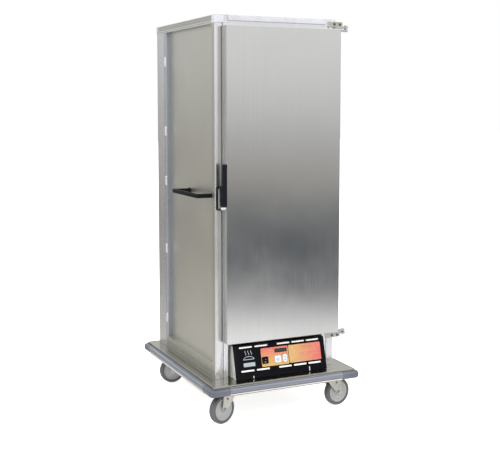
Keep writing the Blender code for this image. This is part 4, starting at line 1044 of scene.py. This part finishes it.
def make_controls():
    finish_node("display", "display_window", edge=0.0003)
    finish_node("key", "square_key", "tall_key", edge=0.0006)
    finish_node("satin_black", "power_rocker", edge=0.0007)

    x0, x1, s0, s1 = face_span("display_window", DISPLAY_OUT, 0.0012)
    bm = bmesh.new()
    bezel(bm, (x0, s0, x1, s1), 0.0022, (0.0022, 0.0006), 0.0012, on_face(OVERLAY_OUT - 0.0001))
    add("display_bezel", bm, "module", "satin_black", edge=0.0004)

    # four unlit figures: three bars across and four upright segments each
    bm = bmesh.new()
    figures, tall, stroke, film = 4, (s1 - s0) * 0.62, 0.0009, 0.00010
    half, foot = tall * 0.28, (s0 + s1 - tall) / 2
    for i in range(figures):
        x = x0 + (x1 - x0) * (i + 0.5) / figures
        for level in (0.0, 0.5, 1.0):
            bar(bm, x - half + stroke * 0.6, x + half - stroke * 0.6, foot + tall * level, stroke / 2,
                stroke * 0.4, film, DISPLAY_OUT)
        for upright in (x - half, x + half):
            for level in (0.25, 0.75):
                bar(bm, upright - stroke / 2, upright + stroke / 2, foot + tall * level,
                    tall / 4 - stroke * 0.7, stroke * 0.4, film, DISPLAY_OUT)
    add("display_segments", bm, "module", "segments", angle=50)

    film = 0.00015
    x0, x1, s0, s1 = face_span("square_key", KEY_OUT, 0.0008)
    x, s = (x0 + x1) / 2, (s0 + s1) / 2
    bm = bmesh.new()
    for level, half in ((0.0035, 0.0085), (-0.0020, 0.0085), (-0.0075, 0.0055)):
        bar(bm, x - half, x + half, s + level, 0.0011, 0.0009, film, KEY_OUT)
    add("square_key_symbol", bm, "square_key", "symbol", angle=50)
    x0, x1, s0, s1 = face_span("tall_key", KEY_OUT, 0.0008)
    x, s = (x0 + x1) / 2, (s0 + s1) / 2
    bm = bmesh.new()
    for up in (1, -1):
        arrow = [(x - 0.0048, s + up * 0.0045), (x + 0.0048, s + up * 0.0045), (x, s + up * 0.0118)]
        plate(bm, [arrow[::up]], film, on_face(KEY_OUT))
    bar(bm, x - 0.0050, x + 0.0050, s, 0.0008, 0.0006, film, KEY_OUT)
    add("tall_key_symbol", bm, "tall_key", "symbol", angle=50)

    # rocker: a bezel round it, and the usual line and ring on its two halves
    low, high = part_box("power_rocker")
    x, s = (low.x + high.x) / 2, 0.0718
    half_x, half_s = (high.x - low.x) / 2 + 0.0005, 0.01225
    bm = bmesh.new()
    bezel(bm, (x - half_x, s - half_s, x + half_x, s + half_s), 0.0030, (0.0028, 0.0010), 0.0022,
          on_face(OVERLAY_OUT - 0.0001))
    add("rocker_bezel", bm, "module", "satin_black", edge=0.0007)
    rocker = FACE @ Matrix.Translation((x, ROCKER_AXLE, s - 0.00005)) @ Matrix.Rotation(ROCKER_REST, 4, "X")
    lean = math.atan2(0.0025, 0.01005)              # each half of the rocker leans away from its middle
    upper, lower = (rocker @ Matrix.Translation((0, -0.0070, 0)) @ Matrix.Rotation(turn, 4, "X") @ along_y()
                    for turn in (lean, -lean))
    bm = bmesh.new()
    tab(bm, (-0.0005, 0.0035, 0.0005, 0.0080), 0.0004, film, upper, 2)
    plate(bm, [circle((0, -0.0056), 0.0023, 20), circle((0, -0.0056), 0.0015, 20)[::-1]], film, lower)
    add("rocker_marks", bm, "power_rocker", "key", angle=50)

    # guide pins at the foot of the fascia
    bm = bmesh.new()
    for x, high_s in ((-0.137, 0.0115), (0.142, 0.0210)):
        turned(bm, [(0, 0.0006), (0.0024, 0.0010), (0.0028, 0.0022), (0.0028, high_s - 0.0020),
                    (0.0022, high_s - 0.0006), (0, high_s)], 24, FACE @ Matrix.Translation((x, -0.0014, 0)))
    add("fascia_pins", bm, "module", "chrome", angle=40)


def make_inside():
    finish_node("satin_black", "blower_motor", edge=0.0006)
    finish_node("zinc", "blower_wheel")
    finish_node("heater", "heating_element")


# ---------------------------------------------------------------- casters
def make_wheel(place, centre, turn):
    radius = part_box("caster_wheel_" + place)[1].z - centre.z
    axle = Matrix.Translation(centre) @ Matrix.Rotation(turn, 4, "Z") @ OUT_FRONT
    body = "wheel_" + place
    steps = 72

    tread = [(radius * share, half) for share, half in (
        (0.742, 0.0122), (0.770, 0.0146), (0.830, 0.0156), (0.900, 0.0154), (0.955, 0.0138), (0.985, 0.0108),
        (0.997, 0.0065), (1.0, 0.0020))]
    bm = bmesh.new()
    turned(bm, both_ways(tread), steps, axle, closed=True)
    add("tyre_" + place, bm, body, "tyre", ["caster_wheel_" + place], angle=50)

    disc = [(0.0060, 0.0170), (0.0118, 0.0170), (0.0128, 0.0160), (0.0136, 0.0120), (0.0150, 0.0098),
            (0.0270, 0.0088), (0.0290, 0.0100), (0.0318, 0.0100), (0.0336, 0.0086), (0.0395, 0.0092),
            (0.0425, 0.0118), (0.0450, 0.0130), (radius * 0.748, 0.0130)]
    bm = bmesh.new()
    turned(bm, both_ways(disc), steps, axle, closed=True)
    add("hub_" + place, bm, body, "hub", angle=30)

    race = [(0.0056, 0.0176), (0.0078, 0.0178), (0.0084, 0.0172), (0.0098, 0.0172), (0.0104, 0.0168)]
    bm = bmesh.new()
    turned(bm, both_ways(race), 40, axle, closed=True)
    add("hub_bearing_" + place, bm, body, "bolt", angle=40)


def make_fork(place, swivel, centre, turn):
    """The fork trails along its own +X; the legs hang from a bent crown."""
    body = "swivel_" + place
    matrix = Matrix.Translation(swivel) @ Matrix.Rotation(turn, 4, "Z")
    trail = (centre - swivel).xy.length
    axle_z = centre.z - swivel.z
    crown_top, gauge = -0.0155, 0.0030
    behind, length = 0.031, 0.066               # how far the crown reaches behind the swivel, and in all
    leg_in, leg_out = 0.0185, 0.0215
    bend = 0.006
    knee = crown_top - 0.0150
    outer = ([(-leg_out, knee)] + arc((-leg_out + bend, crown_top - bend), bend, 180, 90, 5)
             + arc((leg_out - bend, crown_top - bend), bend, 90, 0, 5) + [(leg_out, knee)])
    fold = bend - gauge
    inner = ([(leg_in, knee)] + arc((leg_out - bend, crown_top - bend), fold, 0, 90, 4)
             + arc((-leg_out + bend, crown_top - bend), fold, 90, 180, 4) + [(-leg_in, knee)])
    bm = bmesh.new()
    prism(bm, outer + inner, length, along_x(-behind))

    foot = 0.0135
    back = [((trail - foot + behind) * share ** 1.5 - behind, knee + (axle_z - knee) * share)
            for share in (i / 8 for i in range(8))]
    leg = (back + arc((trail, axle_z), foot, -170, 0, 12)
           + [(trail + foot * 0.98, axle_z + 0.012), (length - behind, knee)])
    hole = circle((trail - 0.016, knee - 0.016), 0.0048, 20)
    bore = circle((trail, axle_z), 0.0050, 20)
    for start in (leg_out, -leg_in):
        plate(bm, [leg, hole[::-1], bore[::-1]], gauge, along_y(start))
    turned(bm, [(0.0, crown_top + 0.0006), (0.0240, crown_top + 0.0006), (0.0262, crown_top - 0.0010),
                (0.0262, crown_top - 0.0030), (0, crown_top - 0.0030)], 40)
    add("fork_" + place, bm, body, "zinc", ["caster_fork_" + place], edge=0.0007, angle=50, matrix=matrix)

    # pressed ribs down the legs
    bm = bmesh.new()
    rib = [(trail + 0.0050, knee - 0.006), (trail + 0.0100, knee - 0.006), (trail + 0.0075, axle_z + 0.018),
           (trail + 0.0040, axle_z + 0.018)]
    prism(bm, rib, 0.0010, along_y(-leg_out))
    prism(bm, flip(rib, -1), 0.0010, at((0, leg_out, 0), OUT_BACK))
    add("fork_ribs_" + place, bm, body, "zinc", edge=0.0008, angle=50, matrix=matrix)

    bm = bmesh.new()
    for facing, y in ((OUT_FRONT, -leg_out), (OUT_BACK, leg_out)):
        side = at((trail, y, axle_z), facing)
        turned(bm, [(0, 0.0), (0.0098, 0.0), (0.0100, 0.0010), (0.0096, 0.0014), (0, 0.0014)], 28, side)
        hexagon(bm, 0.0132, 0.0062, side @ along_z(0.0012))
    # the bolt's end stands out of the nut, which is on the last side
    turned(bm, [(0, 0.0100), (0.0032, 0.0098), (0.0038, 0.0088), (0.0038, 0.0060), (0, 0.0060)], 20, side)
    turned(bm, [(0, -leg_in), (0.0046, -leg_in), (0.0046, leg_in), (0, leg_in)], 20,
           at((trail, 0, axle_z), OUT_BACK))
    add("axle_bolt_" + place, bm, body, "bolt", angle=30, matrix=matrix)


def make_caster_plate(place):
    low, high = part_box("caster_plate_" + place)
    centre = Vector(((low.x + high.x) / 2, (low.y + high.y) / 2, high.z))
    half = (high.x - low.x) / 2
    bm = bmesh.new()
    prism(bm, rounded(-half, -half, half, half, 0.010, 6), 0.004, along_z(-0.004))
    turned(bm, [(0, -0.0035), (0.0300, -0.0035), (0.0300, -0.0052), (0.0280, -0.0075), (0.0272, -0.0095),
                (0.0248, -0.0108), (0.0242, -0.0128), (0.0215, -0.0146), (0, -0.0146)], 48)
    add("swivel_plate_" + place, bm, "cabinet", "zinc", ["caster_plate_" + place], edge=0.0006, angle=50,
        matrix=Matrix.Translation(centre))
    bm = bmesh.new()
    for sign_x in (-1, 1):
        for sign_y in (-1, 1):
            spot = (sign_x * (half - 0.0095), sign_y * (half - 0.0095), -0.0040)
            turned(bm, [(0, 0.0), (0.0082, 0.0), (0.0082, 0.0012), (0, 0.0012)], 24, at(spot, OUT_DOWN))
            hexagon(bm, 0.0110, 0.0052, at((spot[0], spot[1], -0.0050), OUT_DOWN))
    add("plate_bolts_" + place, bm, "cabinet", "bolt", angle=30, matrix=Matrix.Translation(centre))
    return centre


def make_casters():
    for place in ("front_left", "front_right", "rear_left", "rear_right"):
        centre = middle_of("caster_wheel_" + place)
        swivel = make_caster_plate(place)
        away = centre - swivel
        turn = math.atan2(away.y, away.x)
        make_wheel(place, centre, turn)
        make_fork(place, swivel, centre, turn)


make_camera()
SCENE.view_settings.view_transform = "Standard"
make_world()
area_light("key_light", (-2.6, -3.2, 4.2), (0, 0, 0.8), 2.6, 130)
area_light("fill_light", (3.2, -2.4, 3.0), (0, 0, 0.8), 2.2, 45)
area_light("rear_light", (-1.5, 3.6, 4.0), (0, 0, 0.8), 3.0, 70)
make_floor(LOOKS["floor"])

make_posts()
make_clips()
make_top()
make_skins()
make_bumper()
make_deck()
make_handles()
make_door()
make_hinges()
make_latch()
make_fascia()
make_pictogram()
make_controls()
make_inside()
make_casters()
